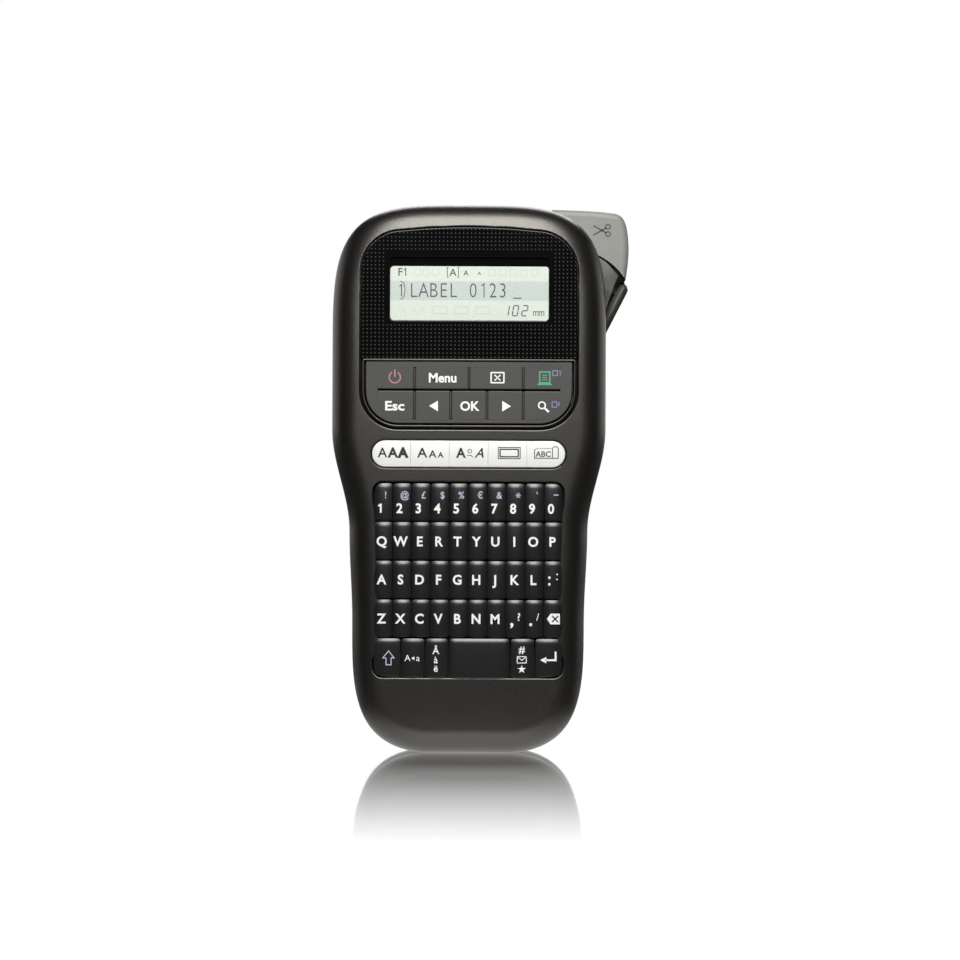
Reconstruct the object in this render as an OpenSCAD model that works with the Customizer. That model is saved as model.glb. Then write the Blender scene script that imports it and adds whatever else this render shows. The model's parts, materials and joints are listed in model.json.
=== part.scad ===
/* [Body] */
// Height from the foot to the top of the head
body_h = 207; // [205:0.5:209]
// Width of the head
head_w = 103.4; // [103:0.2:105]
// Width of the grip just below the waist
grip_w = 90; // [89:0.5:92]
// Width of the grip near the foot
foot_w = 87.6; // [87:0.2:89]
// Depth from the face to the back of the head
head_d = 59; // [59:0.5:62]
// Depth from the face to the back of the grip
grip_d = 41; // [41:0.5:43]
// Distance from the face to the middle of the foot
face_d = 22; // [22:0.1:22.4]
// Thickness of the shells
wall = 2.4; // [2.2:0.1:2.5]

/* [Display and function pad] */
// Width of the display panel
panel_w = 81.2; // [80:0.2:82]
// Top of the display panel
panel_hi = 198; // [197.4:0.2:198.6]
// Bottom of the display panel, where the function keys start
panel_lo = 148.6; // [148.2:0.1:149]
// Bottom of the function keys
pad_lo = 123.4; // [123:0.1:124]
// Width of the display glass that shows
view_w = 59.6; // [58:0.2:60]
// Lower edge of the display glass that shows
view_lo = 163; // [162.4:0.1:163.4]
// Upper edge of the dark band above the display glass
view_hi = 186.9; // [186:0.1:187.4]

/* [Keys] */
// Travel of a key when it is pressed
key_travel = 1; // [0.8:0.1:1.1]
// Gap between neighbouring keys
key_gap = 0.6; // [0.5:0.05:0.8]
// Width of the white style keys together
style_w = 72.8; // [72:0.2:73]
// Height of the white style keys
style_h = 10; // [9.6:0.1:10.4]
// Height of the style keys' middle above the foot
style_z = 112.9; // [112.6:0.1:113.2]
// Distance between the letter keys' columns
column_pitch = 7.1; // [7:0.02:7.14]
// Distance between the letter keys' rows
row_pitch = 14.54; // [14.4:0.02:14.6]
// Top of the uppermost row of letter keys
rows_hi = 101.8; // [101.4:0.1:101.9]

/* [Cutter lever] */
// Lever pivot, distance right of the middle
pivot_x = 38; // [37.5:0.1:38.5]
// Lever pivot, height above the foot
pivot_z = 166; // [165.5:0.1:166.5]
// Swing of the lever when it cuts
lever_swing = 10; // [8:0.5:10]
// Radius of the gap between the lever and its guard
guard_r = 24.6; // [24.2:0.1:25]

/* [Tape path] */
// Distance right of the middle at which the tape runs up to its slot
tape_x = 17.2; // [17:0.1:17.4]
// Radius of the platen roller
platen_r = 4.2; // [4:0.1:4.3]
// Module of the gear teeth
gear_module = 0.75; // [0.75:0.01:0.76]

/* [Power] */
// Diameter of a battery cell
cell_d = 10.5; // [10:0.1:10.5]
// Length of a battery cell
cell_l = 44.5; // [43:0.5:44.5]
// Distance between neighbouring cells
cell_pitch = 11.2; // [11.1:0.1:11.3]

/* [Hidden] */
$fn = 48;
eps = 0.01;

// Depth positions. The face looks along -Y and the foot's middle is at 0.
face_y = -face_d;
parting_y = -6;
panel_recess = 1.2;
panel_back_y = face_y + panel_recess;
panel_front_y = face_y + 0.1;
key_front_y = face_y - 0.5;
pad_front_y = face_y - 0.2;
key_back_y = -16.6;
mat_front_y = key_back_y + key_travel + 0.4;
board_front_y = -13.4;
board_back_y = -11.8;
grip_back_y = grip_d - face_d;
head_back_y = head_d - face_d;

// Outline seen from the front: a soft square foot, a waist and a soft square head
foot_half = foot_w / 2;
head_half = head_w / 2;
foot_centre = 50;
foot_rise = foot_centre + 0.5;
foot_power = 3.5;
head_centre = 150;
head_power = 3.9;
grip_lo = foot_centre;
waist_lo = 84;
waist_hi = 122;
foot_steps = 10;
side_steps = 14;
head_steps = 16;
foot_angle = asin(pow(foot_centre / foot_rise, foot_power / 2));

function smooth(t) = let (u = min(1, max(0, t))) u * u * (3 - 2 * u);
function side_half(z) = foot_half
    + (grip_w - foot_w) / 2 * smooth((z - grip_lo) / (waist_lo - grip_lo))
    + (head_w - grip_w) / 2 * smooth((z - waist_lo) / (waist_hi - waist_lo));

outline = concat(
    [[0, 0]],
    [for (k = [0:foot_steps]) let (a = foot_angle * (1 - k / foot_steps))
        [foot_half * pow(cos(a), 2 / foot_power), foot_centre - foot_rise * pow(sin(a), 2 / foot_power)]],
    [for (k = [1:side_steps - 1]) let (z = foot_centre + (head_centre - foot_centre) * k / side_steps)
        [side_half(z), z]],
    [for (k = [0:head_steps]) let (a = 90 * k / head_steps)
        [head_half * pow(cos(a), 2 / head_power),
         head_centre + (body_h - head_centre) * pow(sin(a), 2 / head_power)]]
);
last = len(outline) - 1;

function unit(v) = v / norm(v);
function outward(i) = i == 0 ? [0, -1] : i == last ? [0, 1]
    : let (t = unit(outline[i + 1] - outline[i - 1])) [t[1], -t[0]];
// The outline's points moved inward, as a closed ring of [x, z]
function ring(inset) = concat(
    [for (i = [0:last]) outline[i] - inset * outward(i)],
    [for (i = [last - 1:-1:1]) let (p = outline[i] - inset * outward(i)) [-p[0], p[1]]]
);

// Depth of the back, which steps out from the grip to the head
shoulder_lo = 90;
shoulder_hi = 121;
function back_y(z) = grip_back_y
    + (head_back_y - grip_back_y) * smooth((z - shoulder_lo) / (shoulder_hi - shoulder_lo));

// Edge rounding. Each level is [inset, y, whether y is measured from the back's own depth].
face_edge_in = 7;
face_edge_deep = 10;
back_edge_r = 7;
edge_steps = 5;
front_levels = concat(
    [[0, parting_y, 0]],
    [for (k = [0:edge_steps]) let (a = 90 * k / edge_steps)
        [face_edge_in * (1 - cos(a)), face_y + face_edge_deep * (1 - sin(a)), 0]]
);
back_levels = concat(
    [[0, parting_y, 0]],
    [for (k = [0:edge_steps]) let (a = 90 * k / edge_steps)
        [back_edge_r * (1 - cos(a)), -back_edge_r * (1 - sin(a)), 1]]
);

// A solid with one ring of points for each level, closed by strips between its two sides.
// thin moves every level inward by a wall, and open carries the first level past the parting plane.
module body_half(levels, front, thin, open) {
    count = 2 * last;
    top = len(levels) - 1;
    inward = front ? 1 : -1;
    points = [for (n = [0:top]) let (level = levels[n])
        for (p = ring(level[0] + thin))
            [p[0], level[1] + (level[2] == 1 ? back_y(p[1]) : 0) + inward * (n == 0 ? open : thin), p[1]]];
    sides = [for (n = [0:top - 1]) for (i = [0:count - 1]) let (j = (i + 1) % count, a = n * count)
        each [[a + i, a + count + j, a + j], [a + i, a + count + i, a + count + j]]];
    cap = [for (i = [0:last - 1]) let (m = count - i, w = count - i - 1) each concat(
        i == 0 ? [] : [[i, w, m]],
        i == last - 1 ? [] : [[i, i + 1, w]]
    )];
    far_cap = [for (f = cap) [f[0], f[2], f[1]] + top * count * [1, 1, 1]];
    faces = concat(sides, cap, far_cap);
    polyhedron(points, front ? faces : [for (f = faces) [f[0], f[2], f[1]]]);
}

module front_solid(thin = 0, open = 0) {
    body_half(front_levels, true, thin, open);
}

module rear_solid(thin = 0, open = 0) {
    body_half(back_levels, false, thin, open);
}

// A plate between two depths, from a shape drawn as seen from the front
module slab(y_lo, y_hi) {
    translate([0, y_hi, 0]) rotate([90, 0, 0]) linear_extrude(y_hi - y_lo) children();
}

module rounded(x_lo, x_hi, z_lo, z_hi, r) {
    translate([x_lo + r, z_lo + r]) offset(r) square([x_hi - x_lo - 2 * r, z_hi - z_lo - 2 * r]);
}

module disc(x, z, r) {
    translate([x, z]) circle(r);
}

// Display panel and function pad share one shield-shaped recess
panel_corner_r = 15;
panel_arch = 1.4;
pad_corner_r = 14;
pad_in = 1.8;
pad_mid = 136.9;
fit_gap = 0.35;

module shield(grow = 0) {
    side_x = panel_w / 2;
    offset(delta = grow) hull() {
        for (side = [-1, 1]) {
            disc(side * (side_x - pad_corner_r), pad_lo - 1 + pad_corner_r, pad_corner_r);
            disc(side * (side_x - panel_corner_r), panel_hi - panel_arch - panel_corner_r, panel_corner_r);
        }
        polygon([for (k = [-5:5]) let (x = k / 5)
            [x * (side_x - panel_corner_r), panel_hi - panel_arch * x * x]]);
    }
}

module pad_window(grow = 0) {
    intersection() {
        shield(grow - pad_in);
        translate([-panel_w, pad_lo - pad_in]) square([2 * panel_w, panel_lo - pad_lo + pad_in - 0.4 + grow]);
    }
}

module view_window(grow = 0) {
    rounded(-view_w / 2 - grow, view_w / 2 + grow, view_lo - grow, view_hi + grow, 1.5);
}

// Screws that hold the two shells together: [x, z, depth of the head's seat]
screws = [[-26, 18.5, 8], [26, 18.5, 8], [-30, 105, 8], [30, 105, 8], [-28, 198, 22]];
screw_r = 1.2;
screw_head_r = 2.6;
screw_head_h = 2;
boss_r = 2.8;
screw_tip_y = -15.5;

gusset_t = 1;

module boss_gussets(y_lo, y_hi) {
    for (s = screws) for (turn = [0, 180])
        translate([s[0], y_lo, s[1]]) rotate([0, turn, 0]) translate([0, 0, -gusset_t / 2]) hull() {
            cube([boss_r + 0.8, y_hi - y_lo, gusset_t]);
            cube([boss_r + 1.6, gusset_t, gusset_t]);
        }
}

// Keyboard layout
columns = 10;
rows = 5;
key_h = row_pitch - key_gap;
board_half = columns * column_pitch / 2;
rows_lo = rows_hi - rows * row_pitch + key_gap;
function row_top(row) = rows_hi - row * row_pitch;
keyboard_rim = 0.6;
style_edges = [-style_w / 2, -21.8, -7.3, 7.3, 21.8, style_w / 2];
pad_half = panel_w / 2 - pad_in;
upper_edges = [-pad_half, -20.4, 0, 20.4, pad_half];
lower_edges = [-pad_half, -20.4, -6.8, 6.8, 20.4, pad_half];
wide_edges = [-board_half, -25.1, -16.05, -7.3, 15.95, 25.15, board_half];

keyboard_corner_r = 3;

module keyboard_window(rim = 0) {
    half = board_half + rim;
    rounded(-half, half, rows_lo - rim, rows_hi + rim, keyboard_corner_r + rim);
}

module style_window(grow = 0) {
    half = style_w / 2 + grow;
    side = style_h / 2 + grow;
    rounded(-half, half, style_z - side, style_z + side, side - eps);
}

module front_case() color([0.09, 0.085, 0.08]) {
    lcd_half = lcd_w / 2 + fit_gap;
    difference() {
        union() {
            difference() {
                front_solid();
                front_solid(thin = wall, open = 1);
            }
            intersection() {
                front_solid();
                union() {
                    for (s = screws) slab(face_y + wall - eps, parting_y) disc(s[0], s[1], boss_r);
                    boss_gussets(face_y + wall - eps, parting_y);
                }
            }
        }
        slab(face_y - 1, panel_back_y) shield(fit_gap);
        slab(face_y - 1, face_y + wall + 1) pad_window(fit_gap);
        slab(face_y - 1, face_y + wall + 1)
            rounded(-lcd_half, lcd_half, lcd_lo - fit_gap, lcd_hi + fit_gap, 1);
        slab(face_y - 1, face_y + wall + 1) style_window(0.4);
        slab(face_y - 1, face_y + wall + 1) keyboard_window(keyboard_rim);
        for (s = screws) slab(screw_tip_y - 1, parting_y + 1) disc(s[0], s[1], screw_r);
    }
}

// Display glass, its holder and its flat cable
lcd_w = 66;
lcd_lo = 158.5;
lcd_hi = 191;
lcd_back_y = -18.9;
lcd_frame_back_y = -16.4;
flex_t = 0.2;

module display_panel() color([0.02, 0.02, 0.022]) slab(panel_front_y, panel_back_y) difference() {
    intersection() {
        shield();
        translate([-panel_w, panel_lo]) square([2 * panel_w, body_h]);
    }
    view_window();
}

module lcd_glass() color([0.83, 0.86, 0.83])
    slab(panel_back_y + 0.05, lcd_back_y) rounded(-lcd_w / 2, lcd_w / 2, lcd_lo, lcd_hi, 0.6);

module lcd_frame() color([0.12, 0.12, 0.12]) {
    half = lcd_w / 2;
    slab(lcd_back_y, lcd_frame_back_y) difference() {
        rounded(-half - 1.6, half + 1.6, lcd_lo - 1.6, lcd_hi + 1.6, 1);
        rounded(-half + 4, half - 4, lcd_lo + 4, lcd_hi - 4, 1);
    }
    slab(lcd_frame_back_y - 1, lcd_frame_back_y)
        rounded(-half + 3.5, half - 3.5, lcd_lo + 3.5, lcd_hi - 3.5, 1);
}

module lcd_flex() color([0.8, 0.55, 0.2]) {
    bend_z = board_hi - 1;
    translate([-14, lcd_frame_back_y, bend_z]) cube([28, flex_t, lcd_lo + 2 - bend_z]);
    translate([-14, lcd_frame_back_y, bend_z]) cube([28, board_front_y - lcd_frame_back_y, flex_t]);
}

// Keys
module letter_key(x_lo, x_hi, z_hi) {
    slab(key_front_y, key_back_y) intersection() {
        rounded(x_lo, x_hi, z_hi - key_h, z_hi, 0.9);
        keyboard_window();
    }
}

module pad_key(edges, n, z_lo, z_hi) color([0.24, 0.24, 0.25]) {
    slab(pad_front_y, key_back_y) intersection() {
        pad_window(0);
        translate([edges[n] + key_gap / 2, z_lo]) square([edges[n + 1] - edges[n] - key_gap, z_hi - z_lo]);
    }
}

module upper_pad_key(n) pad_key(upper_edges, n, pad_mid + key_gap / 2, panel_lo);
module lower_pad_key(n) pad_key(lower_edges, n, pad_lo - pad_in, pad_mid - key_gap / 2);

module style_key(n) color([0.96, 0.95, 0.93]) slab(pad_front_y - 0.2, key_back_y) intersection() {
    style_window();
    translate([style_edges[n] + key_gap / 4, style_z - style_h])
        square([style_edges[n + 1] - style_edges[n] - key_gap / 2, 2 * style_h]);
}

module letter_row(row) color([0.13, 0.13, 0.12]) {
    z_hi = row_top(row);
    for (c = [0:columns - 1]) {
        x_lo = -board_half + c * column_pitch + key_gap / 2;
        letter_key(x_lo, x_lo + column_pitch - key_gap, z_hi);
    }
}

module wide_key(n) color([0.13, 0.13, 0.12]) {
    z_hi = row_top(rows - 1);
    letter_key(wide_edges[n] + key_gap / 2, wide_edges[n + 1] - key_gap / 2, z_hi);
}

// Board behind the keys and the rubber mat on it
board_half_w = 37;
board_lo = 24.4;
board_hi = 152;

module board_holes() {
    for (s = screws) disc(s[0], s[1], boss_r + 2.2);
}

module keypad_mat() color([0.3, 0.3, 0.32]) slab(mat_front_y, board_front_y) difference() {
    rounded(-board_half_w, board_half_w, board_lo, board_hi - 2, 2);
    board_holes();
}

module main_board() color([0.1, 0.35, 0.16]) slab(board_front_y, board_back_y) difference() {
    rounded(-board_half_w, board_half_w, board_lo, board_hi, 2);
    board_holes();
}

module board_parts() color([0.07, 0.07, 0.07]) {
    slab(board_back_y, board_back_y + 1.6) rounded(-8, 8, 112, 128, 0.4);
    slab(board_back_y, board_back_y + 1.2) rounded(-28, -16, 118, 126, 0.3);
    for (x = [14, 22, 30]) slab(board_back_y, board_back_y + 5) disc(x, 122, 3);
    slab(board_back_y, board_back_y + 4) rounded(-20, 20, 140, 144, 0.3);
}

// Lever: a finger plate outside the guard's arc, an arm to the pivot and a short arm for the blade
lever_front_y = -5.4;
lever_back_y = 24;
arm_front_y = 12;
blade_back_y = 33;
lever_r = guard_r + 0.6;
lever_tip_x = 60.6;
pin_r = 1.5;
hub_r = 4.2;
plate_left_x = 31;

module lever_plate() {
    difference() {
        polygon([
            [plate_left_x, 205.3], [57.3, 203.5], [58.5, 202.6], [59.1, 201], [lever_tip_x - 0.2, 194.5],
            [lever_tip_x, 191.3], [60.3, 185], [59.2, 178.6], [48, 178], [40, 186], [plate_left_x, 192]
        ]);
        disc(pivot_x, pivot_z, lever_r);
    }
}

module lever_arm() {
    hull() {
        disc(pivot_x, pivot_z, hub_r);
        disc(pivot_x + 3.4, pivot_z + lever_r + 1, 2.6);
        disc(pivot_x - 2.2, pivot_z + lever_r + 2, 2.6);
    }
}

module blade_arm() {
    polygon([[21.6, 196.6], [24, 193.4], [34, 190.4], [42, 190.4], [42, 197], [34, 200.4], [22.6, 199.6]]);
}

module blade_carrier() {
    polygon([[21.6, 196.6], [24, 193.4], [29.6, 191.7], [29.6, 199.4], [22.6, 199.4]]);
}

module cutter_lever() color([0.55, 0.56, 0.53]) difference() {
    union() {
        slab(lever_front_y, lever_back_y) lever_plate();
        slab(arm_front_y, lever_back_y) lever_arm();
        slab(arm_front_y, lever_back_y) blade_arm();
        slab(arm_front_y, blade_back_y - 1) blade_carrier();
    }
    slab(arm_front_y - 1, lever_back_y + 1) disc(pivot_x, pivot_z, pin_r + 0.06);
}

module cutter_blade() color([0.78, 0.79, 0.8])
    slab(arm_front_y + 3, blade_back_y) polygon([[19.6, 193], [21.6, 196.6], [24, 193.4], [22.9, 192.4]]);

module cutter_anvil() color([0.6, 0.6, 0.62]) slab(chassis_back_y, blade_back_y)
    rounded(9.8, 12.6, 178, 198, 0.4);

module lever_pin() color([0.7, 0.7, 0.72]) slab(chassis_front_y, 31) disc(pivot_x, pivot_z, pin_r);

// A wire coil that climbs along +Z
module coil(radius, wire_r, turns, height) {
    around = 6;
    steps = 12 * turns;
    points = [for (i = [0:steps]) let (a = 30 * i) for (k = [0:around - 1]) let (b = 360 * k / around)
        [(radius + wire_r * cos(b)) * cos(a), (radius + wire_r * cos(b)) * sin(a),
         wire_r + (height - 2 * wire_r) * i / steps + wire_r * sin(b)]];
    sides = [for (i = [0:steps - 1]) for (k = [0:around - 1]) let (j = (k + 1) % around, a = i * around)
        each [[a + k, a + j, a + around + j], [a + k, a + around + j, a + around + k]]];
    ends = [[for (k = [around - 1:-1:0]) k], [for (k = [0:around - 1]) steps * around + k]];
    polyhedron(points, concat(sides, ends));
}

module lever_spring() color([0.75, 0.75, 0.77])
    translate([pivot_x, lever_back_y + 5.4, pivot_z]) rotate([90, 0, 0]) coil(2.6, 0.4, 5, 5);

// Print mechanism on its chassis
chassis_front_y = 4.6;
chassis_back_y = 6.2;
gear_front_y = 7.2;
gear_back_y = 10.2;
tape_front_y = 16.4;
tape_back_y = 31.6;
pinion_teeth = 12;
idler_teeth = 26;
platen_teeth = 16;
ribbon_teeth = 22;
platen_dir = 132;
pinion_dir = -55;
ribbon_dir = 192;
shaft_r = 1.25;

function pitch_r(teeth) = gear_module * teeth / 2;
function along(from, angle, dist) = from + dist * [cos(angle), sin(angle)];
platen_at = [tape_x + 0.2 + platen_r, 162];
idler_at = along(platen_at, platen_dir + 180, pitch_r(platen_teeth) + pitch_r(idler_teeth));
pinion_at = along(idler_at, pinion_dir, pitch_r(pinion_teeth) + pitch_r(idler_teeth));
ribbon_at = along(idler_at, ribbon_dir, pitch_r(ribbon_teeth) + pitch_r(idler_teeth));

// Involute teeth at 20 degrees, a little thin and a little short so that they run freely
pressure = 20;
tooth_slack = 0.06;
function roll_off(base, r) = let (a = acos(min(1, base / r))) tan(a) * 180 / PI - a;
function polar(r, a) = [r * cos(a), r * sin(a)];
function tooth(teeth, middle) =
    let (
        r = pitch_r(teeth),
        base = r * cos(pressure),
        tip = r + 0.75 * gear_module,
        root = r - 1.1 * gear_module,
        half = 90 / teeth - tooth_slack / r * 180 / PI + roll_off(base, r),
        low = max(base, root),
        flank = [for (k = [0:4]) low + (tip - low) * k / 4]
    )
    concat(
        [polar(root, middle - half)],
        [for (q = flank) polar(q, middle - half + roll_off(base, q))],
        [for (k = [4:-1:0]) polar(flank[k], middle + half - roll_off(base, flank[k]))],
        [polar(root, middle + half)]
    );

module gear(at, teeth, phase, bore_r) {
    slab(gear_front_y, gear_back_y) translate(at) difference() {
        polygon([for (k = [0:teeth - 1]) each tooth(teeth, phase + k * 360 / teeth)]);
        circle(bore_r);
    }
}

// Phase at which a gear's gap meets the idler's tooth, for a gear that lies in the given direction
function mesh_phase(direction, teeth) = direction + 180 + direction * idler_teeth / teeth + 180 / teeth;

module idler_gear() color([0.92, 0.92, 0.9]) gear(idler_at, idler_teeth, 0, shaft_r + 0.05);
module idler_stud() color([0.7, 0.7, 0.72]) {
    slab(chassis_back_y, gear_back_y + 1.4) disc(idler_at[0], idler_at[1], shaft_r);
    slab(gear_back_y + 0.4, gear_back_y + 1.2) disc(idler_at[0], idler_at[1], 2.4);
}
module motor_pinion() color([0.8, 0.7, 0.35])
    gear(pinion_at, pinion_teeth, mesh_phase(pinion_dir, pinion_teeth), 1);
module platen_gear() color([0.92, 0.92, 0.9])
    gear(platen_at, platen_teeth, mesh_phase(platen_dir, platen_teeth), shaft_r);
module ribbon_gear() color([0.92, 0.92, 0.9])
    gear(ribbon_at, ribbon_teeth, mesh_phase(ribbon_dir, ribbon_teeth), 2);

module platen_shaft() color([0.7, 0.7, 0.72]) slab(chassis_back_y + 0.3, tape_back_y + 2)
    disc(platen_at[0], platen_at[1], shaft_r);

module platen_roller() color([0.15, 0.15, 0.15]) slab(tape_front_y, tape_back_y) difference() {
    disc(platen_at[0], platen_at[1], platen_r);
    disc(platen_at[0], platen_at[1], shaft_r);
}

module ribbon_spindle() color([0.9, 0.9, 0.88]) {
    slab(chassis_back_y + 0.3, 28) disc(ribbon_at[0], ribbon_at[1], 2);
    slab(18, 27) difference() {
        for (a = [0:60:120]) translate(ribbon_at) rotate(a) square([5.4, 0.8], center = true);
        disc(ribbon_at[0], ribbon_at[1], 2);
    }
}

motor_r = 7;
module drive_motor() color([0.72, 0.72, 0.74]) {
    slab(-9, chassis_front_y) disc(pinion_at[0], pinion_at[1], motor_r);
    slab(-9, gear_back_y + 0.6) disc(pinion_at[0], pinion_at[1], 0.95);
}

module print_chassis() color([0.66, 0.66, 0.68]) slab(chassis_front_y, chassis_back_y) difference() {
    polygon([[4, 134], [30, 131.5], [48, 131.5], [48.4, 176], [44, 184.4], [12, 184.4], [8, 199], [4, 199]]);
    disc(pinion_at[0], pinion_at[1], 2);
    disc(pivot_x, pivot_z, pin_r);
}

module heat_sink() color([0.75, 0.75, 0.77]) difference() {
    slab(chassis_back_y, tape_back_y) rounded(9.9, 13.6, 156.2, 171, 0.3);
    for (z = [158:3:167])
        slab(tape_front_y, tape_back_y + 1) translate([9, z]) square([2, 1.2]);
}

module print_head() color([0.9, 0.88, 0.8]) slab(tape_front_y, tape_back_y)
    polygon([
        [13.6, 156.4], [15.8, 156.4], [tape_x - 0.2, 159], [tape_x - 0.2, 165], [15.8, 170], [13.6, 170]
    ]);

// Cassette: an L-shaped box whose arm feeds the tape to the print head
cassette_front_y = 15.8;
cassette_back_y = 33;
cassette_t = 1.2;

module cassette_outline(grow = 0) {
    offset(delta = grow) polygon([
        [-42, 131], [30, 131], [32, 133], [32, 149], [30, 151], [10, 151], [8.6, 152.4],
        [8.6, 178], [6.6, 180], [-41, 180], [-45, 175], [-45, 134]
    ]);
}

module spindle_hole() {
    disc(ribbon_at[0], ribbon_at[1], 3.4);
}

roll_at = [-20, 156];
module tape_cassette() color([0.86, 0.86, 0.84]) {
    slab(cassette_front_y, cassette_front_y + cassette_t) difference() {
        cassette_outline();
        spindle_hole();
    }
    slab(cassette_front_y + cassette_t - eps, cassette_back_y - cassette_t) difference() {
        cassette_outline();
        cassette_outline(-cassette_t);
    }
}

module cassette_lid() color([0.8, 0.82, 0.84])
    slab(cassette_back_y - cassette_t, cassette_back_y) difference() {
        cassette_outline();
        spindle_hole();
    }

module tape_roll() color([0.97, 0.97, 0.95]) slab(18.4, 30.6) difference() {
    disc(roll_at[0], roll_at[1], 20);
    disc(roll_at[0], roll_at[1], 8);
}

// Battery bay
cells = 6;
cell_lo = 34;
cell_y = 10.2;
bay_half = cells * cell_pitch / 2 + 0.8;
bay_lo = cell_lo - 2.4;
bay_hi = cell_lo + cell_l + 7;
floor_front_y = 3;
floor_t = 1.4;
function cell_x(n) = (n - (cells - 1) / 2) * cell_pitch;
function plus_up(n) = n % 2 == 0;

module cell() {
    cylinder(d = cell_d, h = cell_l - 1);
    cylinder(r = 1.9, h = cell_l);
}

module battery_cells() color([0.2, 0.2, 0.22])
    for (n = [0:cells - 1]) translate([cell_x(n), cell_y, cell_lo]) {
        if (plus_up(n)) cell();
        else translate([0, 0, cell_l]) mirror([0, 0, 1]) cell();
    }

module battery_plates() color([0.8, 0.8, 0.82]) for (n = [0:cells - 1]) {
    z = bay_hi - 0.6;
    translate([cell_x(n) - 4, cell_y - 4, z]) cube([8, 8, 0.5]);
    translate([cell_x(n) - 4, cell_y - 4, bay_lo + 0.1]) cube([8, 8, 0.5]);
}

module battery_springs() color([0.8, 0.8, 0.82]) for (n = [0:cells - 1])
    translate([cell_x(n), cell_y, cell_lo + cell_l + 0.3])
        coil(2.6, 0.35, 4, bay_hi - 0.9 - cell_lo - cell_l);

// Cover opening in the back, seen from the back
cover_lo = 28;
cover_hi = 186;
cover_in = 5.8;
cover_gap = 0.3;
cover_t = 2;

module cover_outline(grow = 0) {
    offset(delta = grow) offset(4) offset(delta = -4) intersection() {
        polygon(ring(cover_in));
        translate([-head_w, cover_lo]) square([2 * head_w, cover_hi - cover_lo]);
    }
}

// Thumb grip: ridges that get shorter downwards
thumb_z = 172;
ridges = 8;
ridge_w = 18;
ridge_pitch = 1.6;
ridge_r = 0.6;

module thumb_ridge(width) {
    hull() for (sink = [ridge_r, 1])
        translate([-width / 2, head_back_y - sink, 0]) rotate([0, 90, 0])
            cylinder(r = ridge_r, h = width, $fn = 12);
}

module back_cover() color([0.085, 0.08, 0.075]) {
    intersection() {
        difference() {
            rear_solid();
            rear_solid(thin = cover_t, open = 1);
        }
        slab(0, head_back_y + 5) cover_outline(-cover_gap);
    }
    for (k = [0:ridges - 1]) translate([0, 0, thumb_z - k * ridge_pitch]) thumb_ridge(ridge_w - 2 * k);
}

// Rear shell: the guard below the lever, bay walls, bosses, the lever's pocket and the tape slot
jack_y = 1;
jack_z = 148;

module guard_plate() {
    intersection() {
        polygon([
            [46, 152], [51.2, 157.5], [52.3, 159.6], [lever_tip_x, 175.8],
            [lever_tip_x - 0.4, 177.6], [54, 190], [46, 190]
        ]);
        disc(pivot_x, pivot_z, guard_r);
    }
}

lever_clearance = 0.5;

module lever_sweep() {
    steps = 5;
    for (k = [0:steps])
        translate([pivot_x, pivot_z]) rotate(lever_swing * k / steps) translate([-pivot_x, -pivot_z])
            offset(delta = lever_clearance) lever_plate();
}

shelf_front_y = 13.4;
shelf_t = 1.6;
divider_z = 124.6;

// The part of the shell's inside between two heights, seen from the front
module inside_band(z_lo, z_hi) {
    intersection() {
        polygon(ring(wall / 2));
        translate([-head_w, z_lo]) square([2 * head_w, z_hi - z_lo]);
    }
}

module bay_walls() {
    difference() {
        slab(floor_front_y, grip_back_y - wall - 1.4)
            rounded(-bay_half - floor_t, bay_half + floor_t, bay_lo - floor_t, bay_hi + floor_t, 1);
        slab(floor_front_y + floor_t, grip_back_y) rounded(-bay_half, bay_half, bay_lo, bay_hi, 0.5);
    }
    slab(floor_front_y, floor_front_y + floor_t) inside_band(24, divider_z + 0.8);
    slab(shelf_front_y, shelf_front_y + shelf_t) difference() {
        inside_band(126, 184);
        translate([9.6, 152.6]) square([80, 60]);
        translate([42, 126]) square([20, 30]);
        disc(ribbon_at[0], ribbon_at[1], 4);
    }
    slab(parting_y + 1, shelf_front_y + 1.2) inside_band(divider_z, divider_z + shelf_t);
}

module rear_case() color([0.1, 0.095, 0.09]) difference() {
    union() {
        difference() {
            rear_solid();
            rear_solid(thin = wall, open = 1);
        }
        intersection() {
            slab(parting_y + 0.6, lever_back_y) guard_plate();
            slab(parting_y, head_back_y) difference() {
                disc(pivot_x, pivot_z, guard_r + 5);
                polygon(ring(wall / 2));
            }
        }
        intersection() {
            rear_solid();
            union() {
                bay_walls();
                for (s = screws) slab(parting_y, s[2] + 3) disc(s[0], s[1], boss_r + 0.6);
                for (s = [screws[0], screws[1], screws[4]])
                    slab(parting_y, head_back_y) disc(s[0], s[1], boss_r + 0.6);
                boss_gussets(parting_y, parting_y + 10);
            }
        }
    }
    slab(floor_front_y + floor_t + 1, head_back_y + 1) cover_outline();
    slab(parting_y - 1, lever_back_y + 0.6) lever_sweep();
    for (s = screws) {
        slab(parting_y - 1, head_back_y) disc(s[0], s[1], screw_r + 0.3);
        slab(s[2], head_back_y + 1) disc(s[0], s[1], screw_head_r + 0.3);
    }
    slab(tape_front_y - 1, tape_back_y + 1) translate([tape_x - 1.2, body_h - 6]) square([2.4, 12]);
    translate([-head_half - 1, jack_y, jack_z]) rotate([0, 90, 0]) cylinder(r = 4.2, h = 6);
}

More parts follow.
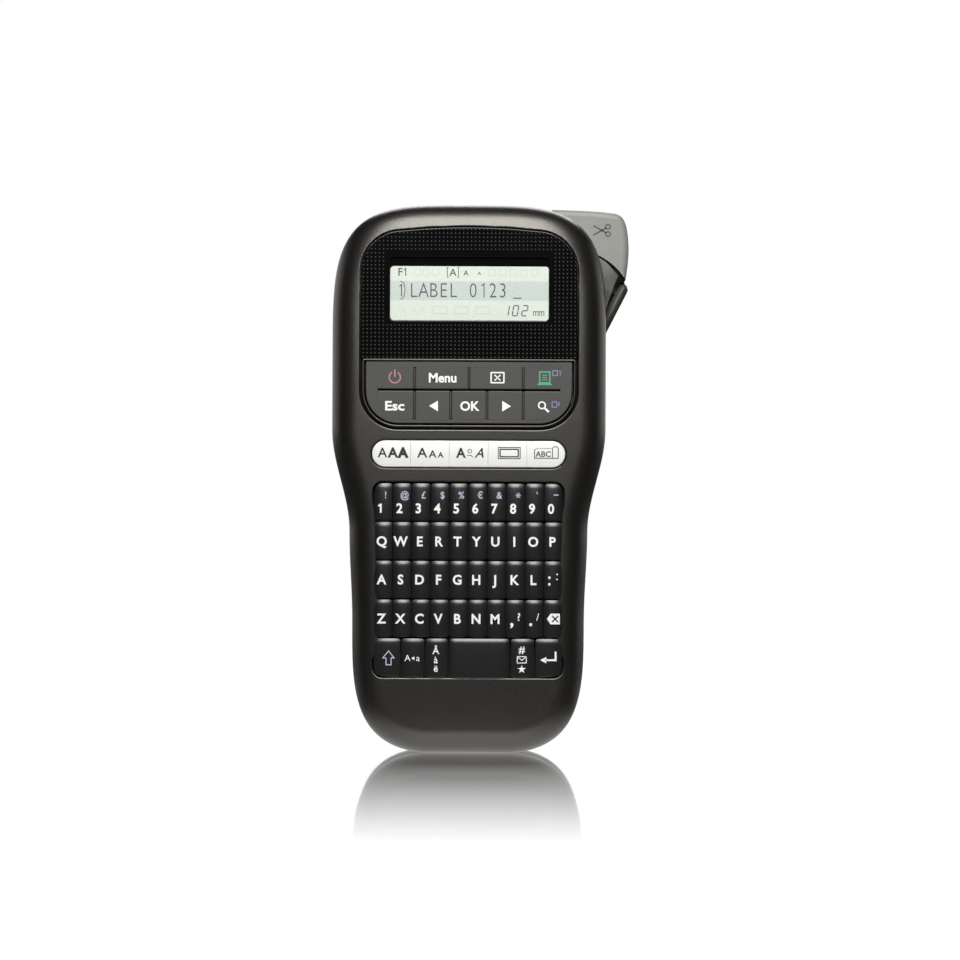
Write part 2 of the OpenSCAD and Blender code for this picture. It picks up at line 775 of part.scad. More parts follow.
module dc_jack() color([0.06, 0.06, 0.06]) {
    inner_x = -head_half + wall;
    difference() {
        union() {
            translate([inner_x + eps, jack_y - 5, jack_z - 5]) cube([12, 10, 10]);
            translate([-head_half + 0.3, jack_y, jack_z]) rotate([0, 90, 0]) cylinder(r = 4, h = wall);
        }
        translate([-head_half - 1, jack_y, jack_z]) rotate([0, 90, 0]) cylinder(r = 2.75, h = 11);
    }
    translate([-head_half + 1.5, jack_y, jack_z]) rotate([0, 90, 0]) cylinder(r = 0.85, h = 10);
}

module case_screws() color([0.5, 0.5, 0.52]) for (s = screws) difference() {
    union() {
        slab(screw_tip_y, s[2]) disc(s[0], s[1], screw_r - 0.05);
        slab(s[2], s[2] + screw_head_h) disc(s[0], s[1], screw_head_r);
    }
    for (turn = [0, 90])
        slab(s[2] + 1, s[2] + 3) translate([s[0], s[1]]) rotate(turn) square([3, 0.6], center = true);
}

front_case();
rear_case();
back_cover();
display_panel();
lcd_glass();
lcd_frame();
lcd_flex();
upper_pad_key(0);  // key_power
upper_pad_key(1);  // key_text
upper_pad_key(2);  // key_clear
upper_pad_key(3);  // key_print
lower_pad_key(0);  // key_escape
lower_pad_key(1);  // key_left
lower_pad_key(2);  // key_select
lower_pad_key(3);  // key_right
lower_pad_key(4);  // key_preview
style_key(0);  // style_key_font
style_key(1);  // style_key_size
style_key(2);  // style_key_effect
style_key(3);  // style_key_frame
style_key(4);  // style_key_symbol
letter_row(0);  // digit_keys
letter_row(1);  // upper_letter_keys
letter_row(2);  // middle_letter_keys
letter_row(3);  // lower_letter_keys
wide_key(0);  // key_shift
wide_key(1);  // key_case
wide_key(2);  // key_accent
wide_key(3);  // key_space
wide_key(4);  // key_sign
wide_key(5);  // key_enter
keypad_mat();
main_board();
board_parts();
cutter_lever();
cutter_blade();
cutter_anvil();
lever_pin();
lever_spring();
print_chassis();
print_head();
heat_sink();
platen_roller();
platen_gear();
platen_shaft();
idler_gear();
idler_stud();
ribbon_gear();
ribbon_spindle();
drive_motor();
motor_pinion();
tape_cassette();
cassette_lid();
tape_roll();
battery_cells();
battery_springs();
battery_plates();
dc_jack();
case_screws();
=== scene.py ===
import json
import math

import bpy
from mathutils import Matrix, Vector
from mathutils.geometry import delaunay_2d_cdt


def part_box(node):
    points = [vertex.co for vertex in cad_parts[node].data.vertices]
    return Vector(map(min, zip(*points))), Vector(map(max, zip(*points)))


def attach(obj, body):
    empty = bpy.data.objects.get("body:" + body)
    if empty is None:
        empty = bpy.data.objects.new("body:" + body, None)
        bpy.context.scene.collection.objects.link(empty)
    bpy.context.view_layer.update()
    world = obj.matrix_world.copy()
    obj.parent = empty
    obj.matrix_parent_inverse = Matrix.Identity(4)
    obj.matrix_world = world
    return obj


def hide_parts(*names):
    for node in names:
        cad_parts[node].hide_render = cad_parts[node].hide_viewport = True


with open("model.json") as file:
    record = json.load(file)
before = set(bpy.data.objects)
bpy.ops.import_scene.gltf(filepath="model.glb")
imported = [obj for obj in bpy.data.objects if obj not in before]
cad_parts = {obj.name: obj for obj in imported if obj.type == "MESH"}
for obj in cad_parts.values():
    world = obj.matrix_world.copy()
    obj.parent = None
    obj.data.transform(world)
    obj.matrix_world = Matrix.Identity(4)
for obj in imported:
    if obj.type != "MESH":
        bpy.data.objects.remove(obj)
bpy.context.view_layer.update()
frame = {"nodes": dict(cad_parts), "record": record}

# The script works in millimetres and turns them into metres where a mesh is made.
MM = 0.001
HOUSING = "housing"


def node_box(name):
    low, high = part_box(name)
    return low / MM, high / MM


# ---------------------------------------------------------------- sizes taken from the frame
front_low, front_high = node_box("front_case")
_, rear_high = node_box("rear_case")
panel_low, panel_high = node_box("display_panel")
glass_low, glass_high = node_box("lcd_glass")
lever_low, lever_high = node_box("cutter_lever")
pin_low, pin_high = node_box("lever_pin")
HEAD_HALF = front_high.x
BODY_H = front_high.z
FACE_Y = front_low.y
PARTING_Y = front_high.y
HEAD_BACK_Y = rear_high.y
LCD = (glass_low.x, glass_high.x, glass_low.z, glass_high.z)
PIVOT = ((pin_low.x + pin_high.x) / 2, (pin_low.z + pin_high.z) / 2)

# ---------------------------------------------------------------- the outline's rule, as in the CAD
FOOT_HALF = 43.8
GRIP_HALF = 45.0
FOOT_CENTRE = 50.0
FOOT_RISE = 50.5
FOOT_POWER = 3.5
HEAD_CENTRE = 150.0
HEAD_POWER = 3.9
WAIST = (84.0, 122.0)
SHOULDER = (90.0, 121.0)
GRIP_BACK_Y = 19.0
WALL = 2.4
FACE_ROLL = 10.0
BACK_EDGE_R = 7.0
GUARD_R = 24.6
LEVER_R = 25.2
FIT_GAP = 0.35


def smooth_step(t):
    u = min(1.0, max(0.0, t))
    return u * u * (3 - 2 * u)


def side_half(z):
    grip = smooth_step((z - FOOT_CENTRE) / (WAIST[0] - FOOT_CENTRE))
    waist = smooth_step((z - WAIST[0]) / (WAIST[1] - WAIST[0]))
    return FOOT_HALF + (GRIP_HALF - FOOT_HALF) * grip + (HEAD_HALF - GRIP_HALF) * waist


def back_y(z):
    t = smooth_step((z - SHOULDER[0]) / (SHOULDER[1] - SHOULDER[0]))
    return GRIP_BACK_Y + (HEAD_BACK_Y - GRIP_BACK_Y) * t


def quarter(steps):
    """The angles of a quarter turn."""
    return [math.pi / 2 * k / steps for k in range(steps + 1)]


def half_outline(foot_steps=26, side_steps=44, head_steps=40):
    start = math.asin((FOOT_CENTRE / FOOT_RISE) ** (FOOT_POWER / 2))
    points = [(0.0, 0.0)]
    for k in range(foot_steps + 1):
        a = start * (1 - k / foot_steps)
        x = FOOT_HALF * math.cos(a) ** (2 / FOOT_POWER)
        z = FOOT_CENTRE - FOOT_RISE * math.sin(a) ** (2 / FOOT_POWER)
        points.append((x, max(0.0, z)))
    for k in range(1, side_steps):
        z = FOOT_CENTRE + (HEAD_CENTRE - FOOT_CENTRE) * k / side_steps
        points.append((side_half(z), z))
    for a in quarter(head_steps)[:-1]:
        x = HEAD_HALF * math.cos(a) ** (2 / HEAD_POWER)
        z = HEAD_CENTRE + (BODY_H - HEAD_CENTRE) * math.sin(a) ** (2 / HEAD_POWER)
        points.append((x, z))
    points.append((0.0, BODY_H))
    return points


OUTLINE = half_outline()


def outward(i):
    if i == 0:
        return (0.0, -1.0)
    if i == len(OUTLINE) - 1:
        return (0.0, 1.0)
    along = Vector(OUTLINE[i + 1]) - Vector(OUTLINE[i - 1])
    along.normalize()
    return (along.y, -along.x)


def body_ring(inset, limits=None):
    """The body's outline moved inward, anticlockwise as seen from the front, each point up to its limit."""
    right = []
    for i, (x, z) in enumerate(OUTLINE):
        nx, nz = outward(i)
        move = min(inset, limits[i]) if limits else inset
        right.append((x - nx * move, z - nz * move))
    return right + [(-x, z) for x, z in reversed(right[1:-1])]


def from_edge(x, z):
    """Distance from the body's outline."""
    here = Vector((abs(x), z))
    nearest = FACE_ROLL
    for a, b in zip(OUTLINE, OUTLINE[1:]):
        start, way = Vector(a), Vector(b) - Vector(a)
        t = min(1.0, max(0.0, (here - start).dot(way) / max(way.length_squared, 1e-9)))
        nearest = min(nearest, (here - start - way * t).length)
    return nearest


def face_depth(x, z):
    """The face is flat in the middle and rolls off towards the outline."""
    gone = FACE_ROLL - from_edge(x, z)
    return FACE_Y + FACE_ROLL - math.sqrt(FACE_ROLL ** 2 - gone ** 2)


# ---------------------------------------------------------------- loops of (x, z)
def arc(cx, cz, r, start, end, steps=6):
    angles = [math.radians(start + (end - start) * k / steps) for k in range(steps + 1)]
    return [(cx + r * math.cos(a), cz + r * math.sin(a)) for a in angles]


def circle(cx, cz, r, steps=32):
    return arc(cx, cz, r, 0, 360, steps)[:-1]


def rounded_box(x0, x1, z0, z1, radii, steps=6):
    """radii is one number, or one each for bottom right, top right, top left and bottom left."""
    if not isinstance(radii, tuple):
        radii = (radii,) * 4
    br, tr, tl, bl = radii
    return (
        arc(x1 - br, z0 + br, br, -90, 0, steps)
        + arc(x1 - tr, z1 - tr, tr, 0, 90, steps)
        + arc(x0 + tl, z1 - tl, tl, 90, 180, steps)
        + arc(x0 + bl, z0 + bl, bl, 180, 270, steps)
    )


def grown(loop, distance, shares=None):
    """A loop moved outward, each corner along its own bisector and by its own share of the distance."""
    out = []
    count = len(loop)
    for i, (x, z) in enumerate(loop):
        px, pz = loop[i - 1]
        nx, nz = loop[(i + 1) % count]
        a = Vector((z - pz, px - x)).normalized()
        b = Vector((nz - z, x - nx)).normalized()
        middle = (a + b).normalized()
        reach = distance / max(0.4, middle.dot(b)) * (shares[i] if shares else 1)
        out.append((x + middle.x * reach, z + middle.y * reach))
    return out


def stepped(loop, spacing):
    """A loop with points added along its long sides."""
    out = []
    for i, (x, z) in enumerate(loop):
        nx, nz = loop[(i + 1) % len(loop)]
        count = max(1, round(math.hypot(nx - x, nz - z) / spacing))
        out += [(x + (nx - x) * k / count, z + (nz - z) * k / count) for k in range(count)]
    return out


def softened(corners, radius, steps=5):
    """A polygon with rounded corners; a third number in a corner is its own radius."""
    out = []
    count = len(corners)
    for i, corner in enumerate(corners):
        here = Vector(corner[:2])
        r = corner[2] if len(corner) > 2 else radius
        before = Vector(corners[i - 1][:2]) - here
        after = Vector(corners[(i + 1) % count][:2]) - here
        a = here + before.normalized() * min(r, before.length * 0.45)
        b = here + after.normalized() * min(r, after.length * 0.45)
        for k in range(steps + 1):
            t = k / steps
            p = a * (1 - t) ** 2 + here * (2 * t * (1 - t)) + b * t * t
            out.append((p.x, p.y))
    return out


def inside(point, loop):
    x, z = point
    found = False
    for i, (ax, az) in enumerate(loop):
        bx, bz = loop[i - 1]
        if (az > z) != (bz > z) and x < (bx - ax) * (z - az) / (bz - az) + ax:
            found = not found
    return found


# ---------------------------------------------------------------- solids made of loops
RIM = 0.06              # a narrow flat rim inside a rounded edge keeps the shading of the flat face flat
SMOOTH_ANGLE = 35       # degrees between two faces that still shade as one surface


class Solid:
    """Points and faces: loops at a depth, joined by bridges and closed by fills."""

    def __init__(self):
        self.points = []
        self.faces = []

    def chain(self, points):
        """Adds points in space and returns their indexes."""
        start = len(self.points)
        self.points += points
        return list(range(start, len(self.points)))

    def loop(self, flat, depth):
        return self.chain([(x, depth(x, z) if callable(depth) else depth, z) for x, z in flat])

    def bridge(self, a, b):
        for i in range(len(a)):
            j = (i + 1) % len(a)
            self.faces.append((a[i], a[j], b[j], b[i]))

    def bridges(self, rings):
        for a, b in zip(rings, rings[1:]):
            self.bridge(a, b)

    def cap(self, ring, turned=False):
        """Closes a flat loop with one face."""
        self.faces.append(tuple(reversed(ring) if turned else ring))

    def fill(self, outer, holes=(), turned=False, depth=None, spacing=0.0):
        """Closes an outer loop around holes. With a spacing, points on depth(x, z) are added inside."""
        loops = [outer, *holes]
        flat = [i for loop in loops for i in loop]
        shapes = [[(self.points[i][0], self.points[i][2]) for i in loop] for loop in loops]
        plane = [p for shape in shapes for p in shape]
        edges = []
        start = 0
        for loop in loops:
            edges += [(start + k, start + (k + 1) % len(loop)) for k in range(len(loop))]
            start += len(loop)
        extra = self.grid(shapes, spacing) if spacing else []
        source = [Vector(p) for p in plane + extra]
        places, _, triangles, origins, _, _ = delaunay_2d_cdt(source, edges, [], 0, 1e-6)
        index = []
        for place, made in zip(places, origins):
            known = [m for m in made if m < len(flat)]
            if known:
                index.append(flat[known[0]])
                continue
            y = depth(place.x, place.y) if depth else self.points[outer[0]][1]
            self.points.append((place.x, y, place.y))
            index.append(len(self.points) - 1)
        for tri in triangles:
            a, b, c = (places[i] for i in tri)
            middle = (a + b + c) / 3
            if not inside(middle, shapes[0]) or any(inside(middle, s) for s in shapes[1:]):
                continue
            face = [index[i] for i in tri]
            anticlockwise = (b - a).cross(c - a) > 0
            self.faces.append(tuple(face if anticlockwise != turned else reversed(face)))

    @staticmethod
    def grid(shapes, spacing):
        outer = shapes[0]
        low_x, high_x = min(p[0] for p in outer), max(p[0] for p in outer)
        low_z, high_z = min(p[1] for p in outer), max(p[1] for p in outer)
        near = spacing / 2
        edge = [p for shape in shapes for p in shape]
        count_x = max(2, round((high_x - low_x) / spacing))
        count_z = max(2, round((high_z - low_z) / spacing))
        found = []
        for k in range(1, count_z):
            z = low_z + (high_z - low_z) * k / count_z
            close = [p for p in edge if abs(p[1] - z) < near]
            for n in range(1, count_x):
                x = low_x + (high_x - low_x) * n / count_x
                if not inside((x, z), outer) or any(inside((x, z), s) for s in shapes[1:]):
                    continue
                if all(math.hypot(p[0] - x, p[1] - z) > near for p in close):
                    found.append((x, z))
        return found

    def plate(self, outer, y_front, y_back, holes=(), edge=0.0, back_edge=0.0, steps=4, shares=None):
        """A plate between two depths with rounded outer and hole edges."""
        levels = []
        if edge:
            levels.append((edge + RIM, y_front))
            for a in quarter(steps)[:-1]:
                levels.append((edge * (1 - math.sin(a)), y_front + edge * (1 - math.cos(a))))
        levels += [(0.0, y_front + edge), (0.0, y_back - back_edge)]
        if back_edge:
            for a in quarter(steps)[1:]:
                levels.append((back_edge * (1 - math.cos(a)), y_back - back_edge * (1 - math.sin(a))))
            levels.append((back_edge + RIM, y_back))
        rings = [self.loop(grown(outer, -inset, shares), y) for inset, y in levels]
        self.bridges(rings[::-1])
        firsts, lasts = [], []
        for hole in holes:
            walls = [self.loop(grown(hole, inset), y) for inset, y in levels]
            self.bridges(walls)
            firsts.append(walls[0])
            lasts.append(walls[-1])
        if holes:
            self.fill(rings[0], firsts)
            self.fill(rings[-1], lasts, turned=True)
        else:
            self.cap(rings[0])
            self.cap(rings[-1], turned=True)

    def mesh(self, name):
        mesh = bpy.data.meshes.new(name)
        mesh.from_pydata([Vector(p) * MM for p in self.points], [], self.faces)
        mesh.validate()
        return mesh

    def build(self, name, material, body=HOUSING, nodes=(), angle=SMOOTH_ANGLE):
        return piece(name, self.mesh(name), material, body, nodes, angle)


def piece(name, mesh, material, body, nodes=(), angle=SMOOTH_ANGLE):
    obj = bpy.data.objects.new(name, mesh)
    bpy.context.scene.collection.objects.link(obj)
    mesh.materials.clear()
    mesh.materials.append(materials[material])
    mesh.shade_smooth()
    mesh.set_sharp_from_angle(angle=math.radians(angle))
    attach(obj, body)
    if nodes:
        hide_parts(*nodes)
    return obj


def combined(base, steps):
    """The mesh of a solid after cutting, joining or keeping others, in turn."""
    obj = bpy.data.objects.new("work", base.mesh("work"))
    bpy.context.scene.collection.objects.link(obj)
    tools = []
    for operation, solid in steps:
        tool = bpy.data.objects.new("tool", solid.mesh("tool"))
        bpy.context.scene.collection.objects.link(tool)
        tools.append(tool)
        cut = obj.modifiers.new("cut", "BOOLEAN")
        cut.operation = operation
        cut.solver = "MANIFOLD"
        cut.object = tool
    bpy.context.view_layer.update()
    graph = bpy.context.evaluated_depsgraph_get()
    mesh = bpy.data.meshes.new_from_object(obj.evaluated_get(graph))
    for done in [obj, *tools]:
        bpy.data.objects.remove(done)
    return mesh


def prism(loop, y_front, y_back, **details):
    """A plate that is a solid of its own."""
    solid = Solid()
    solid.plate(loop, y_front, y_back, **details)
    return solid


# ---------------------------------------------------------------- materials
materials = {}


def nodes_of(name):
    material = bpy.data.materials.new(name)
    material.use_nodes = True
    materials[name] = material
    tree = material.node_tree
    return material, tree, tree.nodes["Principled BSDF"]


def add(tree, kind, inputs=None, **settings):
    node = tree.nodes.new(kind)
    for key, value in settings.items():
        setattr(node, key, value)
    for key, value in (inputs or {}).items():
        if isinstance(value, bpy.types.NodeSocket):
            tree.links.new(value, node.inputs[key])
        else:
            node.inputs[key].default_value = value
    return node


def math_node(tree, operation, a, b=0.0):
    node = add(tree, "ShaderNodeMath", {0: a, 1: b}, operation=operation)
    return node.outputs[0]


def noise(tree, scale, detail=3.0, stretch=(1, 1, 1)):
    """Fine noise in the object's own coordinates; scale counts features to the metre."""
    place = add(tree, "ShaderNodeTexCoord").outputs["Object"]
    mapped = add(tree, "ShaderNodeMapping", {"Vector": place, "Scale": stretch}).outputs["Vector"]
    return add(tree, "ShaderNodeTexNoise", {"Vector": mapped, "Scale": scale, "Detail": detail}).outputs[0]


def blend_colours(tree, factor, dark, light):
    mix = add(tree, "ShaderNodeMix", data_type="RGBA")
    tree.links.new(factor, mix.inputs[0])
    for socket, value in ((mix.inputs[6], dark), (mix.inputs[7], light)):
        if isinstance(value, bpy.types.NodeSocket):
            tree.links.new(value, socket)
        else:
            socket.default_value = (*value, 1)
    return mix.outputs[2]


def ramp(tree, value, span, ends=(0.0, 1.0)):
    """Goes from one end to the other while the value crosses the span."""
    inputs = {"Value": value, "From Min": span[0], "From Max": span[1], "To Min": ends[0], "To Max": ends[1]}
    return add(tree, "ShaderNodeMapRange", inputs).outputs[0]


NOISE_SPAN = (0.3, 0.7)     # nearly all values of a noise lie in it
RELIEF = 0.0002             # height of the grain, in metres


def surface(name, dark, light, rough, grain=1800.0, bump=0.12, cloud=60.0, stretch=(1, 1, 1), **shader):
    """A material whose colour drifts between two tones, with grain in its roughness and relief."""
    material, tree, bsdf = nodes_of(name)
    drift = ramp(tree, noise(tree, cloud), NOISE_SPAN)
    fine = noise(tree, grain, 4.0, stretch)
    tone = math_node(tree, "MULTIPLY_ADD", fine, 0.5)
    tree.links.new(drift, tone.node.inputs[2])
    level = math_node(tree, "MULTIPLY", tone, 0.8)
    tree.links.new(blend_colours(tree, level, dark, light), bsdf.inputs["Base Color"])
    tree.links.new(ramp(tree, fine, NOISE_SPAN, rough), bsdf.inputs["Roughness"])
    relief = add(tree, "ShaderNodeBump", {"Strength": bump, "Distance": RELIEF, "Height": fine})
    tree.links.new(relief.outputs[0], bsdf.inputs["Normal"])
    for key, value in shader.items():
        bsdf.inputs[key.replace("_", " ")].default_value = value
    return material


def grey(level, warm=1.0):
    return (level * warm, level, level / warm)


def painted(material, shape, colour):
    """Paints a colour over a material where shape(tree, x, z) is 1."""
    tree = material.node_tree
    target = tree.nodes["Principled BSDF"].inputs["Base Color"]
    plain = target.links[0].from_socket
    place = add(tree, "ShaderNodeTexCoord").outputs["Object"]
    x, _, z = add(tree, "ShaderNodeSeparateXYZ", {0: place}).outputs
    tree.links.new(blend_colours(tree, shape(tree, x, z), plain, colour), target)


def away_from(tree, value, middle):
    return math_node(tree, "ABSOLUTE", math_node(tree, "SUBTRACT", value, middle))


DOT_PITCH = 1.5
DOT_FREE = (31.0, 161.4, 188.6)     # half width, bottom and top of the part without dots
DOT_EDGE = (0.04, 0.01)             # squares of the radii, in pitches, where a dot starts and is full
TEXT_BAND = (170.6, 177.8)
BAND_BLUR = 0.2


def dot_grid(tree, x, z):
    """A printed grid of small dots that leaves the display's surroundings free."""
    squares = []
    for along in (x, z):
        cells = math_node(tree, "DIVIDE", along, DOT_PITCH * MM)
        part = math_node(tree, "FRACT", math_node(tree, "ADD", cells, 1000.0))
        offset = math_node(tree, "SUBTRACT", part, 0.5)
        squares.append(math_node(tree, "MULTIPLY", offset, offset))
    dot = ramp(tree, math_node(tree, "ADD", *squares), DOT_EDGE)
    half, low, high = DOT_FREE
    wide = math_node(tree, "GREATER_THAN", math_node(tree, "ABSOLUTE", x), half * MM)
    up = away_from(tree, z, (low + high) / 2 * MM)
    tall = math_node(tree, "GREATER_THAN", up, (high - low) / 2 * MM)
    return math_node(tree, "MULTIPLY", dot, math_node(tree, "MAXIMUM", wide, tall))


def text_band(tree, x, z):
    """The band behind the display's line of text."""
    low, high = TEXT_BAND
    half = (high - low) / 2
    away = away_from(tree, z, (low + high) / 2 * MM)
    return ramp(tree, away, ((half + BAND_BLUR) * MM, (half - BAND_BLUR) * MM))


def make_materials():
    gloss_black = surface("panel", grey(0.003), grey(0.004), (0.03, 0.05), bump=0.004, IOR=1.4)
    painted(gloss_black, dot_grid, grey(0.065))
    screen = surface("lcd", (0.58, 0.64, 0.555), (0.63, 0.685, 0.60), (0.25, 0.32), bump=0.02)
    painted(screen, text_band, (0.49, 0.56, 0.51))
    surface(
        "shell", grey(0.003, 1.06), grey(0.0055, 1.06), (0.31, 0.39), grain=1500.0, bump=0.24,
        Specular_IOR_Level=1.0, Specular_Tint=(1.0, 0.955, 0.875, 1),
    )
    surface(
        "key_black", grey(0.003), grey(0.005), (0.28, 0.33), grain=2200.0, bump=0.025,
        Specular_IOR_Level=0.9,
    )
    for name, dark, light, rough, bump, grain in (
        ("pad_rubber", (0.044, 0.043, 0.038), (0.058, 0.056, 0.05), (0.48, 0.6), 0.1, 2500.0),
        # a lighter copy of the pad rubber: a painted highlight on the ridges in the pad's grooves
        ("ridge_painted_highlight", (0.075, 0.073, 0.065), (0.095, 0.092, 0.082), (0.4, 0.5), 0.1, 2500.0),
        ("lever_grey", (0.20, 0.205, 0.185), (0.25, 0.255, 0.23), (0.42, 0.54), 0.14, 2000.0),
        # lighter than the black guard: a painted soft sheen along the guard bar's middle
        ("guard_bar_painted_sheen", (0.04, 0.037, 0.032), (0.055, 0.051, 0.044), (0.38, 0.48), 0.2, 1500.0),
        # a lighter copy of the black guard: the painted highlight on the facet below the lever
        ("guard_painted_highlight", (0.10, 0.102, 0.092), (0.13, 0.133, 0.12), (0.36, 0.46), 0.14, 2000.0),
    ):
        surface(name, dark, light, rough, grain, bump)
    surface("style_white", (0.80, 0.79, 0.76), (0.86, 0.85, 0.82), (0.35, 0.45), bump=0.04)
    surface("mat_rubber", grey(0.06), grey(0.09), (0.6, 0.75))
    surface("board_green", (0.01, 0.06, 0.02), (0.02, 0.11, 0.035), (0.3, 0.45), cloud=300.0)
    surface("dark_frame", grey(0.008), grey(0.014), (0.4, 0.55))
    surface("flex", (0.45, 0.22, 0.04), (0.6, 0.32, 0.07), (0.3, 0.4), cloud=400.0)
    brushed = (1, 1, 14)
    surface("blade_steel", grey(0.5), grey(0.62), (0.2, 0.35), stretch=brushed, Metallic=1.0)
    surface("steel", grey(0.42), grey(0.55), (0.25, 0.4), stretch=brushed, Metallic=1.0)
    surface("sheet_steel", grey(0.36), grey(0.48), (0.32, 0.48), cloud=220.0, Metallic=1.0)
    surface("screw_steel", grey(0.12), grey(0.2), (0.3, 0.45), Metallic=1.0)
    surface("aluminium", grey(0.5), grey(0.62), (0.35, 0.5), stretch=brushed, Metallic=1.0)
    surface("brass", (0.55, 0.36, 0.12), (0.66, 0.46, 0.18), (0.25, 0.38), Metallic=1.0)
    surface("ceramic_white", (0.68, 0.63, 0.52), (0.76, 0.72, 0.62), (0.2, 0.3), bump=0.03)
    surface("roller_rubber", grey(0.012), grey(0.022), (0.6, 0.75))
    surface("gear_plastic", (0.62, 0.61, 0.56), (0.7, 0.69, 0.64), (0.38, 0.5), bump=0.06)
    surface("cassette_plastic", (0.52, 0.52, 0.49), (0.6, 0.6, 0.57), (0.35, 0.48), bump=0.08)
    surface("tape", (0.72, 0.72, 0.69), (0.82, 0.82, 0.79), (0.45, 0.6), stretch=(1, 20, 1))
    surface("cell_wrap", (0.012, 0.03, 0.09), (0.02, 0.045, 0.13), (0.2, 0.3), bump=0.03)
    for name, dark, light in (
        ("ink_white", (0.86, 0.86, 0.84), (0.93, 0.93, 0.91)),
        ("ink_lilac", (0.50, 0.50, 0.66), (0.56, 0.56, 0.73)),
        ("ink_pink", (0.42, 0.17, 0.2), (0.5, 0.22, 0.25)),
        ("ink_green", (0.05, 0.34, 0.17), (0.08, 0.42, 0.22)),
        ("ink_blue", (0.16, 0.2, 0.42), (0.22, 0.27, 0.5)),
    ):
        surface(name, dark, light, (0.45, 0.55), bump=0.03)
    surface("ink_black", grey(0.012), grey(0.02), (0.4, 0.5), bump=0.03)
    # dark strips on the lever: painted shade standing in for the relief of its scissors icon
    surface("lever_icon_painted_shade", grey(0.05), grey(0.065), (0.5, 0.6), bump=0.05)
    surface("lcd_ink", (0.05, 0.057, 0.053), (0.07, 0.077, 0.073), (0.4, 0.5), bump=0.02)
    surface("lcd_ghost", (0.50, 0.555, 0.48), (0.54, 0.59, 0.52), (0.3, 0.4), bump=0.02)


make_materials()

# ---------------------------------------------------------------- marks printed on the pieces, and the lever icon's painted shade
MARK_PROUD = 0.02
MARK_DEEP = 0.5
letter_meshes = {}


def letter_mesh(text, bold, slant):
    """Points and faces of a text whose capitals are 1 high, its middle at the origin."""
    key = (text, bold, slant)
    if key in letter_meshes:
        return letter_meshes[key]
    curve = bpy.data.curves.new("letters", "FONT")
    curve.body = text
    curve.align_x = "CENTER"
    curve.offset = bold
    curve.extrude = 0.1
    curve.shear = slant
    curve.resolution_u = 3
    obj = bpy.data.objects.new("letters", curve)
    bpy.context.scene.collection.objects.link(obj)
    bpy.context.view_layer.update()
    graph = bpy.context.evaluated_depsgraph_get()
    mesh = bpy.data.meshes.new_from_object(obj.evaluated_get(graph))
    points = [tuple(v.co) for v in mesh.vertices]
    faces = [tuple(p.vertices) for p in mesh.polygons]
    bpy.data.objects.remove(obj)
    bpy.data.meshes.remove(mesh)
    letter_meshes[key] = (points, faces)
    return points, faces


CAPITAL = max(p[1] for p in letter_mesh("H", 0.0, 0.0)[0])


class Marks(Solid):
    """Thin printed shapes on the surface depth(x, z), and the lever icon's painted shade. Until build, the
    middle value of a point only says whether it is on the printed front."""

    def __init__(self, depth):
        super().__init__()
        self.depth = depth

    def one(self, x, z, height, bold, wide):
        """The figure 1 as a bar with a flag at its top."""
        thick = height * (0.1 + 3.2 * bold)
        right = x + height * 0.13 * wide
        left = right - thick
        flag = left - 0.2 * height * wide
        top, bottom = z + height / 2, z - height / 2
        self.shape([
            (left, bottom), (right, bottom), (right, top), (right - 0.75 * thick, top),
            (flag, top - 0.17 * height), (flag, top - 0.17 * height - 0.85 * thick),
            (left, top - 0.08 * height - thick),
        ])

    def text(self, text, x, z, height, bold=0.02, wide=1.0, slant=0.0):
        """Letters around their middle; the height is that of a capital."""
        if text == "1":
            self.one(x, z, height, bold, wide)
            return
        points, faces = letter_mesh(text, bold, slant)
        start = len(self.points)
        scale = height / CAPITAL
        for px, py, pz in points:
            front = pz > 0
            self.points.append((x + px * scale * wide, front, z - height / 2 + py * scale))
        self.faces += [tuple(start + i for i in face) for face in faces]

    def shape(self, outer, holes=()):
        front = self.loop(outer, True)
        back = self.loop(outer, False)
        self.bridge(back, front)
        fronts, backs = [], []
        for hole in holes:
            near, far = self.loop(hole, True), self.loop(hole, False)
            self.bridge(near, far)
            fronts.append(near)
            backs.append(far)
        self.fill(front, fronts)
        self.fill(back, backs, turned=True)

    def ring(self, loop, width):
        self.shape(grown(loop, width / 2), [grown(loop, -width / 2)])

    def stroke(self, points, width):
        """A line with square ends through its points."""
        ways = [(Vector(b) - Vector(a)).normalized() for a, b in zip(points, points[1:])]
        left, right = [], []
        for i, p in enumerate(points):
            before = ways[max(0, i - 1)]
            after = ways[min(i, len(ways) - 1)]
            way = (before + after).normalized()
            side = Vector((-way.y, way.x)) * (width / 2 / max(0.4, way.dot(after)))
            left.append((p[0] + side.x, p[1] + side.y))
            right.append((p[0] - side.x, p[1] - side.y))
        self.shape(right + left[::-1])

    def build(self, name, material, body=HOUSING):
        self.points = [
            (x, self.depth(x, z) + (-MARK_PROUD if front else MARK_DEEP), z) for x, front, z in self.points
        ]
        return super().build(name, material, body)


def flat_at(y):
    return lambda x, z: y


# ---------------------------------------------------------------- front shell
RECESS_Y = FACE_Y + 1.2
INNER_Y = FACE_Y + WALL
SHIELD_HALF = panel_high.x
PAD_LO = 123.4
PAD_IN = 1.8
ARCH = 1.4
PANEL_R = 15.0
PAD_R = 14.0
keys_low, keys_high = node_box("digit_keys")
shift_low, _ = node_box("key_shift")
_, enter_high = node_box("key_enter")
pill_left, _ = node_box("style_key_font")
_, pill_right = node_box("style_key_symbol")
KEYBOARD = (shift_low.x, enter_high.x, shift_low.z, keys_high.z)
BOW = 0.9


